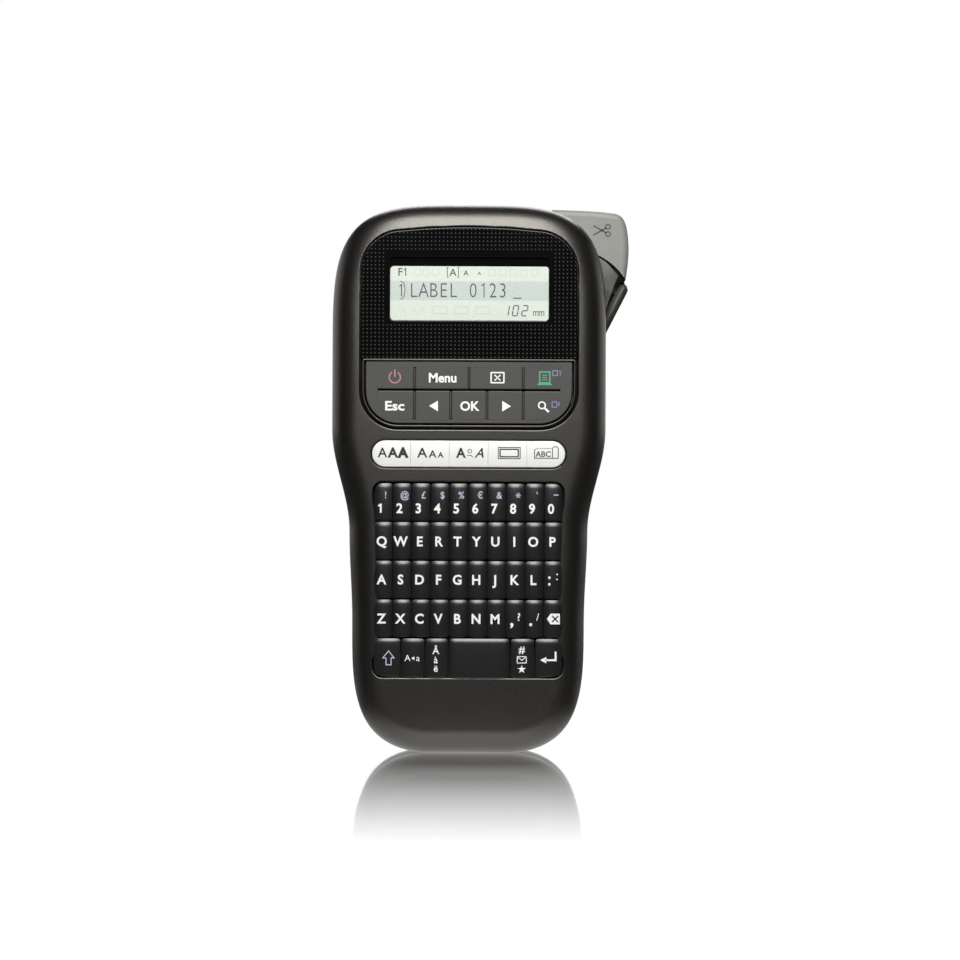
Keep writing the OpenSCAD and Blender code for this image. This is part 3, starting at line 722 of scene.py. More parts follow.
def shield_top():
    """From the right corner's foot over the arched top to the left corner's foot."""
    half = SHIELD_HALF
    low = panel_high.z - ARCH - PANEL_R
    reach = half - PANEL_R
    lean = math.degrees(math.atan(2 * ARCH / reach))
    top = [x * reach * 0.94 for x in (1, 0.75, 0.5, 0.25, 0, -0.25, -0.5, -0.75, -1)]
    return (
        arc(reach, low, PANEL_R, 0, 90 - lean, 12)
        + [(x, panel_high.z - ARCH * (x / reach) ** 2) for x in top]
        + arc(-reach, low, PANEL_R, 90 + lean, 180, 12)
    )


def shield(bottom_r=PAD_R):
    low = PAD_LO - 1 + bottom_r
    reach = SHIELD_HALF - bottom_r
    return (
        arc(reach, low, bottom_r, -90, 0, 12)
        + shield_top()
        + arc(-reach, low, bottom_r, 180, 270, 12)
    )


def bowed(points, strength=1.0):
    """The keyboard's lower edge hangs a little in the middle."""
    x0, x1, low, _ = KEYBOARD
    reach = keys_high.z - keys_low.z
    out = []
    for x, z in points:
        share = min(1.0, max(0.0, (low + reach - z) / reach))
        hang = BOW * max(0.0, 1 - (2 * x / (x1 - x0)) ** 2)
        out.append((x, z - hang * share * strength))
    return out


def box_loop(bounds, grow, radius):
    x0, x1, z0, z1 = bounds
    return rounded_box(x0 - grow, x1 + grow, z0 - grow, z1 + grow, radius + grow, 8)


PILL = (pill_left.x, pill_right.x, pill_left.z, pill_right.z)
PILL_R = (PILL[3] - PILL[2]) / 2 - 0.01
KEY_CORNER_R = 3.0
SHELL_STEPS = 14
SHELL_ANGLE = 40
WINDOW_STEPS = 3
INNER_ROLL = 7.0
WINDOW_EDGES = (0.35, 0.5, 0.45)        # rounded edges of pill, keyboard and shield
PARTING_EDGE = ((0.3, 0), (0.05, 0.25), (0.0, 0.6))     # inset, and distance in front of the parting line
GROOVE_FALL = 1.0                       # how much deeper the recess is at its outline than at the pad


PAD_BELOW_PANEL = 0.95
PAD_BREAK = 0.5
ABOVE_PAD_Z = PAD_LO + 30


def pad_outline(gap=0.0):
    """The function pad's outline: the shield's lower part, closed below the panel."""
    lower = [p for p in grown(shield(), gap - PAD_IN) if p[1] < ABOVE_PAD_Z]
    half = SHIELD_HALF - PAD_IN + gap
    top = panel_low.z - PAD_BELOW_PANEL + gap
    low = top - PAD_BREAK
    turn = next(i for i, p in enumerate(lower) if p[0] < 0)
    corner = [(half, low), (half - PAD_BREAK, top), (-half + PAD_BREAK, top), (-half, low)]
    return lower[:turn] + corner + lower[turn:]


def front_shell():
    s = Solid()
    windows = [
        box_loop(PILL, 0.4, PILL_R),
        bowed(box_loop(KEYBOARD, 0.6, KEY_CORNER_R)),
        grown(shield(), FIT_GAP),
    ]
    rims = [p for loop, edge in zip(windows, WINDOW_EDGES) for p in grown(loop, edge + RIM)]
    limits = [min(math.dist(p, q) for q in rims) - 0.2 for p in OUTLINE]
    turns = quarter(SHELL_STEPS)
    outer = [s.loop(body_ring(inset), PARTING_Y - up) for inset, up in PARTING_EDGE]
    for a in turns:
        inset = FACE_ROLL * (1 - math.cos(a))
        outer.append(s.loop(body_ring(inset, limits), face_depth))
    s.bridges(outer)
    inner = [s.loop(body_ring(WALL), PARTING_Y)]
    for a in turns:
        inset, fall = INNER_ROLL * (1 - math.cos(a)), FACE_ROLL * (1 - math.sin(a))
        inner.append(s.loop(body_ring(WALL + inset), INNER_Y + fall))
    s.bridges(inner[::-1])
    s.bridge(inner[0], outer[0])

    fronts, backs = [], []
    for loop, edge, depth in zip(windows, WINDOW_EDGES, (INNER_Y, INNER_Y, RECESS_Y + GROOVE_FALL)):
        rings = [s.loop(grown(loop, edge + RIM), face_depth)]
        for a in quarter(WINDOW_STEPS):
            sunk = edge * (1 - math.cos(a))
            rim = grown(loop, edge * (1 - math.sin(a)))
            rings.append(s.loop(rim, lambda x, z, sunk=sunk: face_depth(x, z) + sunk))
        rings.append(s.loop(loop, depth))
        s.bridges(rings)
        fronts.append(rings[0])
        backs.append(rings[-1])
    s.fill(outer[-1], fronts)
    recess = backs.pop()
    floor_holes = []
    for hole in (pad_outline(FIT_GAP), box_loop(LCD, FIT_GAP, 0.6)):
        front, back = s.loop(hole, RECESS_Y), s.loop(hole, INNER_Y)
        s.bridge(front, back)
        floor_holes.append(front)
        backs.append(back)
    s.fill(recess, floor_holes)
    s.fill(inner[-1], backs, turned=True)
    return s.build("front_shell", "shell", nodes=["front_case"], angle=SHELL_ANGLE)


# ---------------------------------------------------------------- rear shell and cover
COVER_IN = 5.8
COVER_Z = (28.0, 186.0)
COVER_T = 2.0
COVER_GAP = 0.3
COVER_R = 4.0
SCREWS = [(-26, 18.5, 8), (26, 18.5, 8), (-30, 105, 8), (30, 105, 8), (-28, 198, 22)]   # x, z, seat
LEVER_Y = (lever_low.y, 24.0)
BACK_GRID = 4.0             # between the points inside the curved back


def rear_loft(thin=0.0, front=PARTING_Y):
    """The rear half as a closed solid, or its inside when thin is the wall."""
    s = Solid()
    rings = [s.loop(body_ring(thin or PARTING_EDGE[0][0]), front)]
    rings.append(s.loop(body_ring(thin), max(front, PARTING_Y) + 0.5))
    for a in quarter(SHELL_STEPS):
        inset = BACK_EDGE_R * (1 - math.cos(a))
        drop = BACK_EDGE_R * (1 - math.sin(a)) + thin
        rings.append(s.loop(body_ring(inset + thin), lambda x, z, drop=drop: back_y(z) - drop))
    s.bridges(rings[::-1])
    s.cap(rings[0])
    s.fill(rings[-1], turned=True, depth=lambda x, z: back_y(z) - thin, spacing=BACK_GRID)
    return s


def banded(inset, z_lo, z_hi):
    """The body's outline moved inward and cut off at two heights."""
    right = [(x, z) for x, z in body_ring(inset) if x > 0 and z_lo < z < z_hi]
    half_lo, half_hi = right[0][0], right[-1][0]
    right = [(half_lo, z_lo)] + right + [(half_hi, z_hi)]
    return right + [(-x, z) for x, z in reversed(right)]


def cover_loop(gap):
    low, high = COVER_Z[0] + gap, COVER_Z[1] - gap
    r = COVER_R
    straight = COVER_R + 1
    outline = body_ring(COVER_IN + gap)
    sides = [p for p in outline if p[0] > 0 and COVER_Z[0] + straight < p[1] < COVER_Z[1] - straight]
    low_x, high_x = sides[0][0], sides[-1][0]
    right = arc(low_x - r, low + r, r, -90, 0) + sides + arc(high_x - r, high - r, r, 0, 90)
    return right + [(-x, z) for x, z in reversed(right)]


LEVER_TIP = (59.35, 179.2)      # where the plate's edge meets the arc around the pivot
LEVER_HEEL = (34.5, 191.0)
LEVER_CORNERS = [
    (*LEVER_TIP, 0.3), (60.2, 185, 4), (60.6, 190.5, 4), (60.3, 196.5, 4), (59.3, 201.6, 2.5),
    (57.0, 204.7, 2.5), (48, 205.7, 6), (31, 206.3, 1), (31, 193.0, 1.2), (*LEVER_HEEL, 1),
]
ARC_SHARE = 0.06                # of the rounded edge, along the arc


def from_pivot(point):
    """The direction from the lever's pivot, in degrees."""
    return math.degrees(math.atan2(point[1] - PIVOT[1], point[0] - PIVOT[0]))


def lever_plate():
    """The finger plate's outline outside the arc, and each point's share of the rounded edge."""
    outline = softened(LEVER_CORNERS, 1.0, 5)
    curve = arc(*PIVOT, LEVER_R, from_pivot(LEVER_HEEL), from_pivot(LEVER_TIP), 24)
    keep = [p for p in outline if math.dist(p, PIVOT) > LEVER_R + 0.05]
    return keep + curve[1:-1], [1.0] * len(keep) + [ARC_SHARE] * (len(curve) - 2)


POCKET_ARC = (22.0, 117.0)      # degrees
POCKET_R = 56.0


def pocket():
    """Everything that the lever passes while it swings, with clearance."""
    low, high = POCKET_ARC
    inner = arc(*PIVOT, LEVER_R - 0.5, high, low, 40)
    outer = arc(*PIVOT, POCKET_R, low, high, 40)
    return prism(outer + inner, PARTING_Y - 1, LEVER_Y[1] + 0.6)


GUARD = [
    (46, 152, 0.5), (51.2, 157.5, 1), (52.3, 159.6, 1.5), (60.6, 175.8, 1.6), (60.2, 177.6, 1),
    (57.5, 180.8, 0.3), (52, 186.2, 0.3), (46, 189.2, 0.5),
]
GUARD_SUNK = 5.0
GUARD_GRID = 0.8
FACET_SUNK = 0.2
FACET_FALL = 2.6            # how much deeper the facet is at the bar, and how far from it that starts
FACET_REACH = 9
HOLLOW_SLOPE = 0.95
BAR_R = 2.1
BAR = [(48.6, 157.0, 1.0), (50.4, 160.6, 1.6), (52.6, 164.6, 1.9), (55.6, 170.6, 2.0), (58.7, 176.6, 1.8)]
FACET = [
    (47.5, 189.0), (52.0, 186.2), (56.6, 181.2), (54.6, 176.6), (52.6, 170.4), (51.0, 166.0), (47.5, 162.0),
]
HOLLOW = [
    (56.6, 181.2), (59.3, 178.4), (58.3, 176.0), (55.6, 170.6), (52.6, 164.6), (50.4, 160.6), (49.4, 163.0),
    (51.0, 166.0), (52.6, 170.4), (54.6, 176.6),
]


def held_inside(loop, reach):
    """A loop with the points beyond the arc around the lever's pivot pulled back onto it."""
    out = []
    for x, z in loop:
        k = min(1.0, reach / math.dist((x, z), PIVOT))
        out.append((PIVOT[0] + (x - PIVOT[0]) * k, PIVOT[1] + (z - PIVOT[1]) * k))
    return out


def guard():
    """The guard's plate, sunk behind its facet."""
    loop = held_inside(softened(GUARD, 1.0, 4), GUARD_R)
    return prism(loop, LEVER_Y[0] + GUARD_SUNK, LEVER_Y[1], edge=0.8, back_edge=0.8)


def guard_bar():
    """The guard's thick outer edge: a round bar that tapers into the body and is deeper than wide."""
    s = Solid()
    rings = []
    way = (Vector(BAR[-1][:2]) - Vector(BAR[0][:2])).normalized()
    tip = (BAR[-1][0] + way.x * 1.2, BAR[-1][1] + way.y * 1.2, 0.7)
    for x, z, r in [(*BAR[0][:2], 0.3), *BAR, tip]:
        ring = []
        for k in range(28):
            a = 2 * math.pi * k / 28
            across = r * math.cos(a)
            depth = LEVER_Y[0] + BAR_R + r * 1.4 * math.sin(a)
            ring.append((x + way.y * across, depth, z - way.x * across))
        rings.append(s.chain(ring))
    s.bridges(rings)
    s.cap(rings[0], turned=True)
    s.cap(rings[-1])
    return s


def guard_faces():
    """A facet below the lever's edge, lighter than the black guard as a painted highlight, and a dark one
    that falls away between it and the bar.
    """
    def from_bar(x, z):
        return min(math.dist((x, z), p[:2]) for p in BAR[2:])

    def light(x, z):
        near_bar = max(0.0, 1 - from_bar(x, z) / FACET_REACH)
        return LEVER_Y[0] + FACET_SUNK + FACET_FALL * near_bar ** 2

    def dark(x, z):
        return LEVER_Y[0] + GUARD_SUNK - HOLLOW_SLOPE * from_bar(x, z)

    for name, material, corners, depth in (
        ("guard_facet", "guard_painted_highlight", FACET, light),
        ("guard_hollow", "shell", HOLLOW, dark),
    ):
        loop = stepped(held_inside(softened(corners, 0.6, 4), LEVER_R - 0.1), 1.0)
        s = Solid()
        front, back = s.loop(loop, depth), s.loop(loop, LEVER_Y[0] + GUARD_SUNK + 1)
        s.bridge(back, front)
        s.fill(front, depth=depth, spacing=GUARD_GRID)
        s.fill(back, turned=True)
        s.build(name, material)


def tube_along_x(x0, x1, y, z, r):
    """A round bar along X, for a hole through the side."""
    s = Solid()
    flat = circle(0, 0, r, 40)
    ends = [s.chain([(x, y + a, z + b) for a, b in flat]) for x in (x0, x1)]
    s.bridges(ends)
    s.cap(ends[0], turned=True)
    s.cap(ends[1])
    return s


BAY = (-34.4, 34.4, 31.6, 85.5)         # the cells' bay, inside its walls
BAY_WALL = 1.4
BAY_BACK_Y = 15.6
FLOOR_Y = 3.0
FLOOR_LOW_Z = 24
SHELF_Y = 13.4
SHELF_T = 1.6
SHELF_Z = (126, 184)
SHELF_CUT = (9.6, 60, 152.6, 200)       # room for the lever and the print mechanism
DIVIDER_Z = 124.6
BOSS_R = 3.4
SCREW_HOLE_R = 1.5
SCREW_HEAD_R = 2.9
TAPE_SLOT = (16.0, 18.4, BODY_H - 6, BODY_H + 6)
TAPE_SLOT_Y = (15.4, 32.6)
JACK_HOLE = (1, 148, 4.2)               # y, z and radius


def rear_shell():
    x0, x1, z0, z1 = BAY
    bay = rounded_box(x0 - BAY_WALL, x1 + BAY_WALL, z0 - BAY_WALL, z1 + BAY_WALL, 1)
    floor = banded(WALL / 2, FLOOR_LOW_Z, DIVIDER_Z + 0.8)
    divider = banded(WALL / 2, DIVIDER_Z, DIVIDER_Z + SHELF_T)
    steps = [
        ("DIFFERENCE", rear_loft(WALL, PARTING_Y - 1)),
        ("UNION", prism(bay, FLOOR_Y, BAY_BACK_Y, holes=[rounded_box(x0, x1, z0, z1, 0.5)])),
        ("UNION", prism(floor, FLOOR_Y - 0.02, FLOOR_Y + BAY_WALL)),
        ("UNION", prism(banded(WALL / 2, *SHELF_Z), SHELF_Y, SHELF_Y + SHELF_T)),
        ("DIFFERENCE", prism(rounded_box(*SHELF_CUT, 0.5), SHELF_Y - 1, SHELF_Y + 2)),
        ("UNION", prism(divider, PARTING_Y + 1, SHELF_Y + 0.5)),
    ]
    for x, z, seat in SCREWS:
        boss = prism(circle(x, z, BOSS_R), PARTING_Y + 0.2, min(seat + 9, back_y(z) - 1))
        steps.append(("UNION", boss))
    steps += [
        ("UNION", guard()),
        ("DIFFERENCE", prism(cover_loop(0.0), FLOOR_Y + BAY_WALL + 1, HEAD_BACK_Y + 1)),
        ("DIFFERENCE", pocket()),
    ]
    for x, z, seat in SCREWS:
        steps.append(("DIFFERENCE", prism(circle(x, z, SCREW_HOLE_R), PARTING_Y - 1, HEAD_BACK_Y)))
        steps.append(("DIFFERENCE", prism(circle(x, z, SCREW_HEAD_R), seat, HEAD_BACK_Y + 1)))
    steps += [
        ("DIFFERENCE", prism(rounded_box(*TAPE_SLOT, 0.4), *TAPE_SLOT_Y)),
        ("DIFFERENCE", tube_along_x(-HEAD_HALF - 1, -HEAD_HALF + 5, *JACK_HOLE)),
    ]
    mesh = combined(rear_loft(), steps)
    # the bar's lighter colour is a painted sheen, not a different plastic
    guard_bar().build("guard_bar", "guard_bar_painted_sheen")
    guard_faces()
    piece("rear_shell", mesh, "shell", HOUSING, ["rear_case"], SHELL_ANGLE)


THUMB_GRIP = [(-10.6, 174.4), (-3.2, 158.2), (0, 154.2), (3.2, 158.2), (10.6, 174.4)]
PLATE_FIELD = (-24, 24, 44, 74)


def back_cover():
    """The cover has a thumb recess with ridges and a point, and a sunk field for a plate."""
    field = rounded_box(*PLATE_FIELD, 1.6)
    steps = [
        ("DIFFERENCE", rear_loft(COVER_T, PARTING_Y - 1)),
        ("INTERSECT", prism(cover_loop(COVER_GAP), 0, HEAD_BACK_Y + 5)),
        ("DIFFERENCE", prism(softened(THUMB_GRIP, 2.0), HEAD_BACK_Y - 0.7, HEAD_BACK_Y + 2, edge=0.4)),
        ("DIFFERENCE", prism(field, GRIP_BACK_Y - 0.35, GRIP_BACK_Y + 2, edge=0.1)),
    ]
    mesh = combined(rear_loft(), steps)
    piece("back_cover_shell", mesh, "shell", "cover", ["back_cover"], SHELL_ANGLE)
    ridges = Solid()
    for k in range(6):
        half = 8.2 - 0.95 * k
        z = 171.6 - 1.9 * k
        bar = rounded_box(-half, half, z - 0.55, z + 0.55, 0.54)
        ridges.plate(bar, HEAD_BACK_Y - 1.2, HEAD_BACK_Y - 0.02, back_edge=0.5)
    ridges.build("cover_grip", "shell", "cover")
    plate = prism(grown(field, -0.4), GRIP_BACK_Y - 0.6, GRIP_BACK_Y - 0.15, back_edge=0.1)
    plate.build("blank_plate", "dark_frame", "cover")


# ---------------------------------------------------------------- display
PANEL_WINDOW = (-29.8, 29.8, 163.0, 186.9)
BORDER_WINDOW = (-29.7, 29.9, 163.1, 183.4)
LCD_R = 0.6


def display():
    half, low = SHIELD_HALF, panel_low.z
    outline = [(-half + 0.4, low), (half - 0.4, low), (half, low + 0.4), *shield_top(), (-half, low + 0.4)]
    panel = prism(outline, panel_low.y, panel_high.y, holes=[box_loop(PANEL_WINDOW, 0, 1.5)], edge=0.3)
    panel.build("panel_window", "panel", nodes=["display_panel"])
    glass = prism(box_loop(LCD, 0, LCD_R), glass_low.y, glass_high.y)
    glass.build("display_screen", "lcd", nodes=["lcd_glass"])
    border = prism(
        box_loop(LCD, -0.1, LCD_R), glass_low.y - 0.04, glass_low.y - 0.004,
        holes=[rounded_box(*BORDER_WINDOW, 1.4)],
    )
    border.build("display_border", "panel")
    display_text()


SEGMENTS = {"0": "abcdef", "1": "bc", "2": "abged"}


def seven_segment(marks, digit, x, z, height, lean=0.16):
    """A digit of slanted bars; x and z are its lower left corner."""
    half, wide, gap, thick = height / 2, height * 0.5, 0.12, 0.42
    bars = {
        "a": ((0, height), (wide, height)), "g": ((0, half), (wide, half)), "d": ((0, 0), (wide, 0)),
        "f": ((0, half), (0, height)), "b": ((wide, half), (wide, height)),
        "e": ((0, 0), (0, half)), "c": ((wide, 0), (wide, half)),
    }
    for name in SEGMENTS[digit]:
        (ax, az), (bx, bz) = bars[name]
        sx, sz = (gap, 0) if az == bz else (0, gap)
        a = (x + ax + sx + (az + sz) * lean, z + az + sz)
        b = (x + bx - sx + (bz - sz) * lean, z + bz - sz)
        marks.stroke([a, b], thick)


def display_text():
    on_glass = flat_at(glass_low.y)
    ink = Marks(on_glass)
    ink.text("F", -26.0, 181.2, 2.9, 0.01, 0.95)
    ink.text("1", -24.1, 181.2, 2.9, 0.01)
    ink.text("A", -6.2, 181.1, 2.7, 0.008)
    for side in (-1, 1):
        x = -6.2 + side * 2.1
        ink.stroke([(x - side * 0.5, 183.0), (x, 183.0), (x, 179.3), (x - side * 0.5, 179.3)][::side], 0.28)
    ink.text("A", -1.3, 180.9, 1.9, 0.01)
    ink.text("A", 3.7, 180.8, 1.2, 0.01)
    ink.text("1", -25.7, 174.4, 4.7, -0.005, 0.7)
    ink.stroke([(-25.9, 170.9), (-24.6, 171.7), (-24.1, 174.4), (-24.6, 177.1), (-25.9, 177.8)], 0.3)
    for k, letter in enumerate("LABEL 0123"):
        if letter != " ":
            ink.text(letter, -20.9 + 3.72 * k, 174.4, 5.4, -0.01, 0.78)
    ink.stroke([(16.4, 171.5), (19.6, 171.5)], 0.4)
    for k, digit in enumerate("102"):
        seven_segment(ink, digit, 12.6 + 3.5 * k, 164.9, 3.8)
    for k in range(2):
        x = 24.1 + 2.2 * k
        ink.stroke([(x, 164.9), (x, 166.5), (x + 1.7, 166.5), (x + 1.7, 164.9)], 0.3)
        ink.stroke([(x + 0.85, 166.5), (x + 0.85, 164.9)], 0.3)
    ink.build("display_ink", "lcd_ink")
    ghost = Marks(on_glass)
    for x in (-19.5, -16.2, -12.9):
        ghost.ring(rounded_box(x - 1.1, x + 1.1, 179.9, 182.4, 0.2), 0.3)
    for x in (8.5, 12.5, 16.5, 20.5, 24.5):
        ghost.ring(rounded_box(x - 1.3, x + 1.3, 180.0, 182.3, 0.2), 0.3)
    for x in (-24.6, -20.6, -17.5):
        ghost.text("A", x, 167.0, 2.0, 0.0)
    for x in (-11, -3, 5):
        ghost.ring(rounded_box(x - 2.6, x + 2.6, 165.6, 168.2, 0.3), 0.4)
    ghost.build("display_ghost_icons", "lcd_ghost")


# ---------------------------------------------------------------- keys
KEY_GAP = 0.6
COLUMN_GAP = 0.3        # between keys of one row, which move together
KEY_R = 0.9
KEY_ANGLE = 50


class KeyShape:
    """A letter key: crowned across, rolled off at its top edge, soft at the others."""

    crown = 0.56            # how far the sides lie below the middle
    bow = 0.16              # the same for the top and bottom
    top_r = 2.1             # height of the strip that rolls off at the top, and its slope at the end
    top_slope = 0.56
    low_r = 0.7
    low_slope = 0.3
    edge_insets = (0.1, 0.25, 0.5, 0.85, 1.3)
    spacing = 0.7

    def __init__(self, x0, x1, z0, z1, front, back, radii):
        self.box = (x0, x1, z0, z1)
        self.front, self.back, self.radii = front, back, radii

    def depth(self, x, z):
        x0, x1, z0, z1 = self.box
        half = (x1 - x0) / 2
        u = (x - (x0 + x1) / 2) / half
        sag = self.crown * min(1.0, half / 3.2) * abs(u) ** (2 if half < 5 else 8)
        sag += self.bow * ((2 * z - z0 - z1) / (z1 - z0)) ** 2
        top = max(0.0, 1 - (z1 - z) / self.top_r)
        low = max(0.0, 1 - (z - z0) / self.low_r)
        drop = self.top_slope * self.top_r * top ** 3 / 3 + self.low_slope * self.low_r * low ** 2 / 2
        return self.front + sag + drop

    def add_to(self, s, warp=None):
        x0, x1, z0, z1 = self.box
        outline = stepped(rounded_box(x0, x1, z0, z1, self.radii), self.spacing)
        start = len(s.points)
        rings = [s.loop(outline, self.back), s.loop(outline, self.depth)]
        for inset in self.edge_insets:
            rings.append(s.loop(grown(outline, -inset), self.depth))
        s.bridges(rings)
        s.fill(rings[-1], depth=self.depth, spacing=self.spacing)
        s.cap(rings[0], turned=True)
        if warp:
            for i in range(start, len(s.points)):
                x, y, z = s.points[i]
                (_, z), = warp([(x, z)])
                s.points[i] = (x, y, z)


DIGIT_SIGNS = "!@£$%€&*'-"
ROWS = {    # node: body, letters, and how far these are to the right of and above their keys' middle
    "digit_keys": ("digit_row", "1234567890", -1.0, -2.35),
    "upper_letter_keys": ("upper_letter_row", "QWERTYUIOP", -0.5, -0.2),
    "middle_letter_keys": ("middle_letter_row", "ASDFGHJKL", -0.5, 0.0),
    "lower_letter_keys": ("lower_letter_row", "ZXCVBNM", -0.5, -0.1),
}
LETTER_H = 3.45


def key_row(node, body, pitch):
    """Ten keys side by side; the first row has the keyboard's upper corners."""
    low, high = node_box(node)
    spare = (KEY_GAP - COLUMN_GAP) / 2
    corner = KEY_CORNER_R if node == "digit_keys" else KEY_R
    caps = Solid()
    for k in range(10):
        left = low.x + pitch * k - (spare if k else 0)
        right = low.x + pitch * (k + 1) - KEY_GAP + (spare if k < 9 else 0)
        radii = (KEY_R, corner if k == 9 else KEY_R, corner if k == 0 else KEY_R, KEY_R)
        KeyShape(left, right, low.z, high.z, low.y, high.y, radii).add_to(caps)
    caps.build(f"{body}_caps", "key_black", body, [node], angle=KEY_ANGLE)


def digit_signs(signs, middles, z):
    for x, sign in zip(middles, DIGIT_SIGNS):
        if sign == "*":
            for a in (0, math.pi / 3, 2 * math.pi / 3):
                dx, dz = math.cos(a), math.sin(a)
                signs.stroke([(x - dx, z - dz), (x + dx, z + dz)], 0.34)
        elif sign == "-":
            signs.stroke([(x - 0.9, z + 0.2), (x + 0.9, z + 0.2)], 0.4)
        else:
            signs.text(sign, x, z, 2.5, 0.01, 0.9)


def colons(ink, x, z):
    for dz in (-1.25, 1.25):
        ink.shape(circle(x - 1.5, z + dz - 0.3, 0.5, 16))
    for dz in (-0.9, 1.0):
        ink.shape(circle(x + 1.4, z + dz + 1.2, 0.3, 12))


def stops(ink, comma_x, point_x, z):
    ink.text(",", comma_x - 1.3, z - 0.2, 4.4, 0.03)
    ink.text(".", point_x - 1.3, z - 0.2, 4.4, 0.03)
    ink.text("?", comma_x + 1.3, z + 0.8, 2.8, 0.012)
    ink.text("/", point_x + 1.3, z + 0.8, 2.6, 0.004)


def delete_mark(ink, cross, x, z):
    ink.shape([(x - 2.4, z), (x - 1.1, z - 2.0), (x + 2.4, z - 2.0), (x + 2.4, z + 2.0), (x - 1.1, z + 2.0)])
    for side in (-1, 1):
        cross.stroke([(x - 0.5, z - side * 1.15), (x + 1.8, z + side * 1.15)], 0.5)


def letter_rows():
    for node, (body, letters, shift, lift) in ROWS.items():
        low, high = node_box(node)
        pitch = (high.x - low.x + KEY_GAP) / 10
        key_row(node, body, pitch)
        on_keys = flat_at(low.y)
        ink = Marks(on_keys)
        z = (low.z + high.z) / 2 + lift
        middles = [low.x + pitch * k + (pitch - KEY_GAP) / 2 for k in range(10)]
        for x, letter in zip(middles, letters):
            ink.text(letter, x + shift, z, LETTER_H, 0.028, 0.96)
        if node == "digit_keys":
            signs = Marks(on_keys)
            digit_signs(signs, [x + 0.9 for x in middles], z + 5.0)
            signs.build(f"{body}_signs", "ink_lilac", body)
        if node == "middle_letter_keys":
            colons(ink, middles[9], z)
        if node == "lower_letter_keys":
            stops(ink, middles[7], middles[8], z)
            cross = Marks(flat_at(low.y - MARK_PROUD))
            delete_mark(ink, cross, middles[9] + 0.1, z + 0.1)
            cross.build(f"{body}_cross", "ink_black", body)
        ink.build(f"{body}_letters", "ink_white", body)


def wide_key(node, bottom_right=KEY_R, bottom_left=KEY_R):
    """Builds a key of the bottom row; returns its empty marks and its middle."""
    low, high = node_box(node)
    caps = Solid()
    radii = (bottom_right, KEY_R, KEY_R, bottom_left)
    KeyShape(low.x, high.x, low.z, high.z, low.y, high.y, radii).add_to(caps, warp=bowed)
    caps.build(f"{node}_cap", "key_black", node, [node], angle=KEY_ANGLE)
    return Marks(flat_at(low.y)), (low.x + high.x) / 2, (low.z + high.z) / 2


def bottom_row():
    marks, x, z = wide_key("key_shift", bottom_left=KEY_CORNER_R)
    z -= 0.3
    x += 0.6
    arrow = [
        (x - 0.95, z - 2.6), (x + 0.95, z - 2.6), (x + 0.95, z), (x + 2.1, z), (x, z + 2.6),
        (x - 2.1, z), (x - 0.95, z),
    ]
    marks.ring(arrow, 0.32)
    marks.build("key_shift_mark", "ink_lilac", "key_shift")

    marks, x, z = wide_key("key_case")
    marks.text("A", x - 2.0, z - 0.3, 2.3, 0.0)
    marks.shape([(x - 0.6, z - 0.4), (x + 0.6, z - 1.1), (x + 0.6, z + 0.3)])
    marks.text("a", x + 1.9, z - 0.3, 2.3, 0.0)
    marks.build("key_case_mark", "ink_white", "key_case")

    marks, x, z = wide_key("key_accent")
    for letter, up, size in (("Â", 2.5, 2.5), ("à", -1.0, 2.4), ("ë", -4.2, 2.4)):
        marks.text(letter, x - 0.3, z + up, size, 0.012)
    marks.build("key_accent_mark", "ink_white", "key_accent")

    wide_key("key_space")

    marks, x, z = wide_key("key_sign")
    marks.text("#", x - 0.3, z + 3.0, 2.7, 0.012)
    marks.ring(rounded_box(x - 2.0, x + 1.4, z - 2.0, z + 0.4, 0.15), 0.3)
    marks.stroke([(x - 1.9, z + 0.3), (x - 0.3, z - 1.0), (x + 1.3, z + 0.3)], 0.28)
    star = []
    for k in range(10):
        r = 1.6 if k % 2 == 0 else 0.65
        a = math.radians(90 + 36 * k)
        star.append((x - 0.3 + r * math.cos(a), z - 4.4 + r * math.sin(a)))
    marks.shape(star)
    marks.build("key_sign_mark", "ink_white", "key_sign")

    marks, x, z = wide_key("key_enter", bottom_right=KEY_CORNER_R)
    marks.stroke([(x + 2.6, z + 2.3), (x + 2.6, z - 0.9), (x - 1.2, z - 0.9)], 0.7)
    marks.shape([(x - 3.2, z - 0.9), (x - 0.9, z - 2.1), (x - 0.9, z + 0.3)])
    marks.build("key_enter_mark", "ink_white", "key_enter")


# ---------------------------------------------------------------- function pad
FIELD = (-34.2, 34.2, 125.9, 145.4)
FIELD_R = 8.0
GROOVE = 0.37                # half the width of a groove between two keys
HALF_GAP = 0.3               # half the gap between two keys in the CAD
HAIRLINE = 0.04
SLOPE = 0.3                  # a key's edge beside a groove: its width and its depth
SLOPE_DEEP = 0.14
PAD_ANGLE = 15
UPPER_PAD = ["key_power", "key_text", "key_clear", "key_print"]
LOWER_PAD = ["key_escape", "key_left", "key_select", "key_right", "key_preview"]
power_low, _ = node_box("key_power")
_, escape_high = node_box("key_escape")
PAD_FRONT = power_low.y
PAD_BACK = escape_high.y


def pad_frame():
    outline = pad_outline()
    pad = Solid()
    levels = ((0, PAD_BACK), (0, PAD_FRONT + 0.6), (0.12, PAD_FRONT + 0.25), (0.4, PAD_FRONT))
    rings = [pad.loop(grown(outline, -inset), y) for inset, y in levels]
    hole = rounded_box(*FIELD, (FIELD_R, 0.6, 0.6, FIELD_R), 8)
    near, far = pad.loop(hole, PAD_FRONT), pad.loop(hole, PAD_BACK)
    pad.bridges(rings)
    pad.bridge(near, far)
    pad.fill(rings[-1], [near])
    pad.fill(rings[0], [far], turned=True)
    pad.build("pad_frame", "pad_rubber")


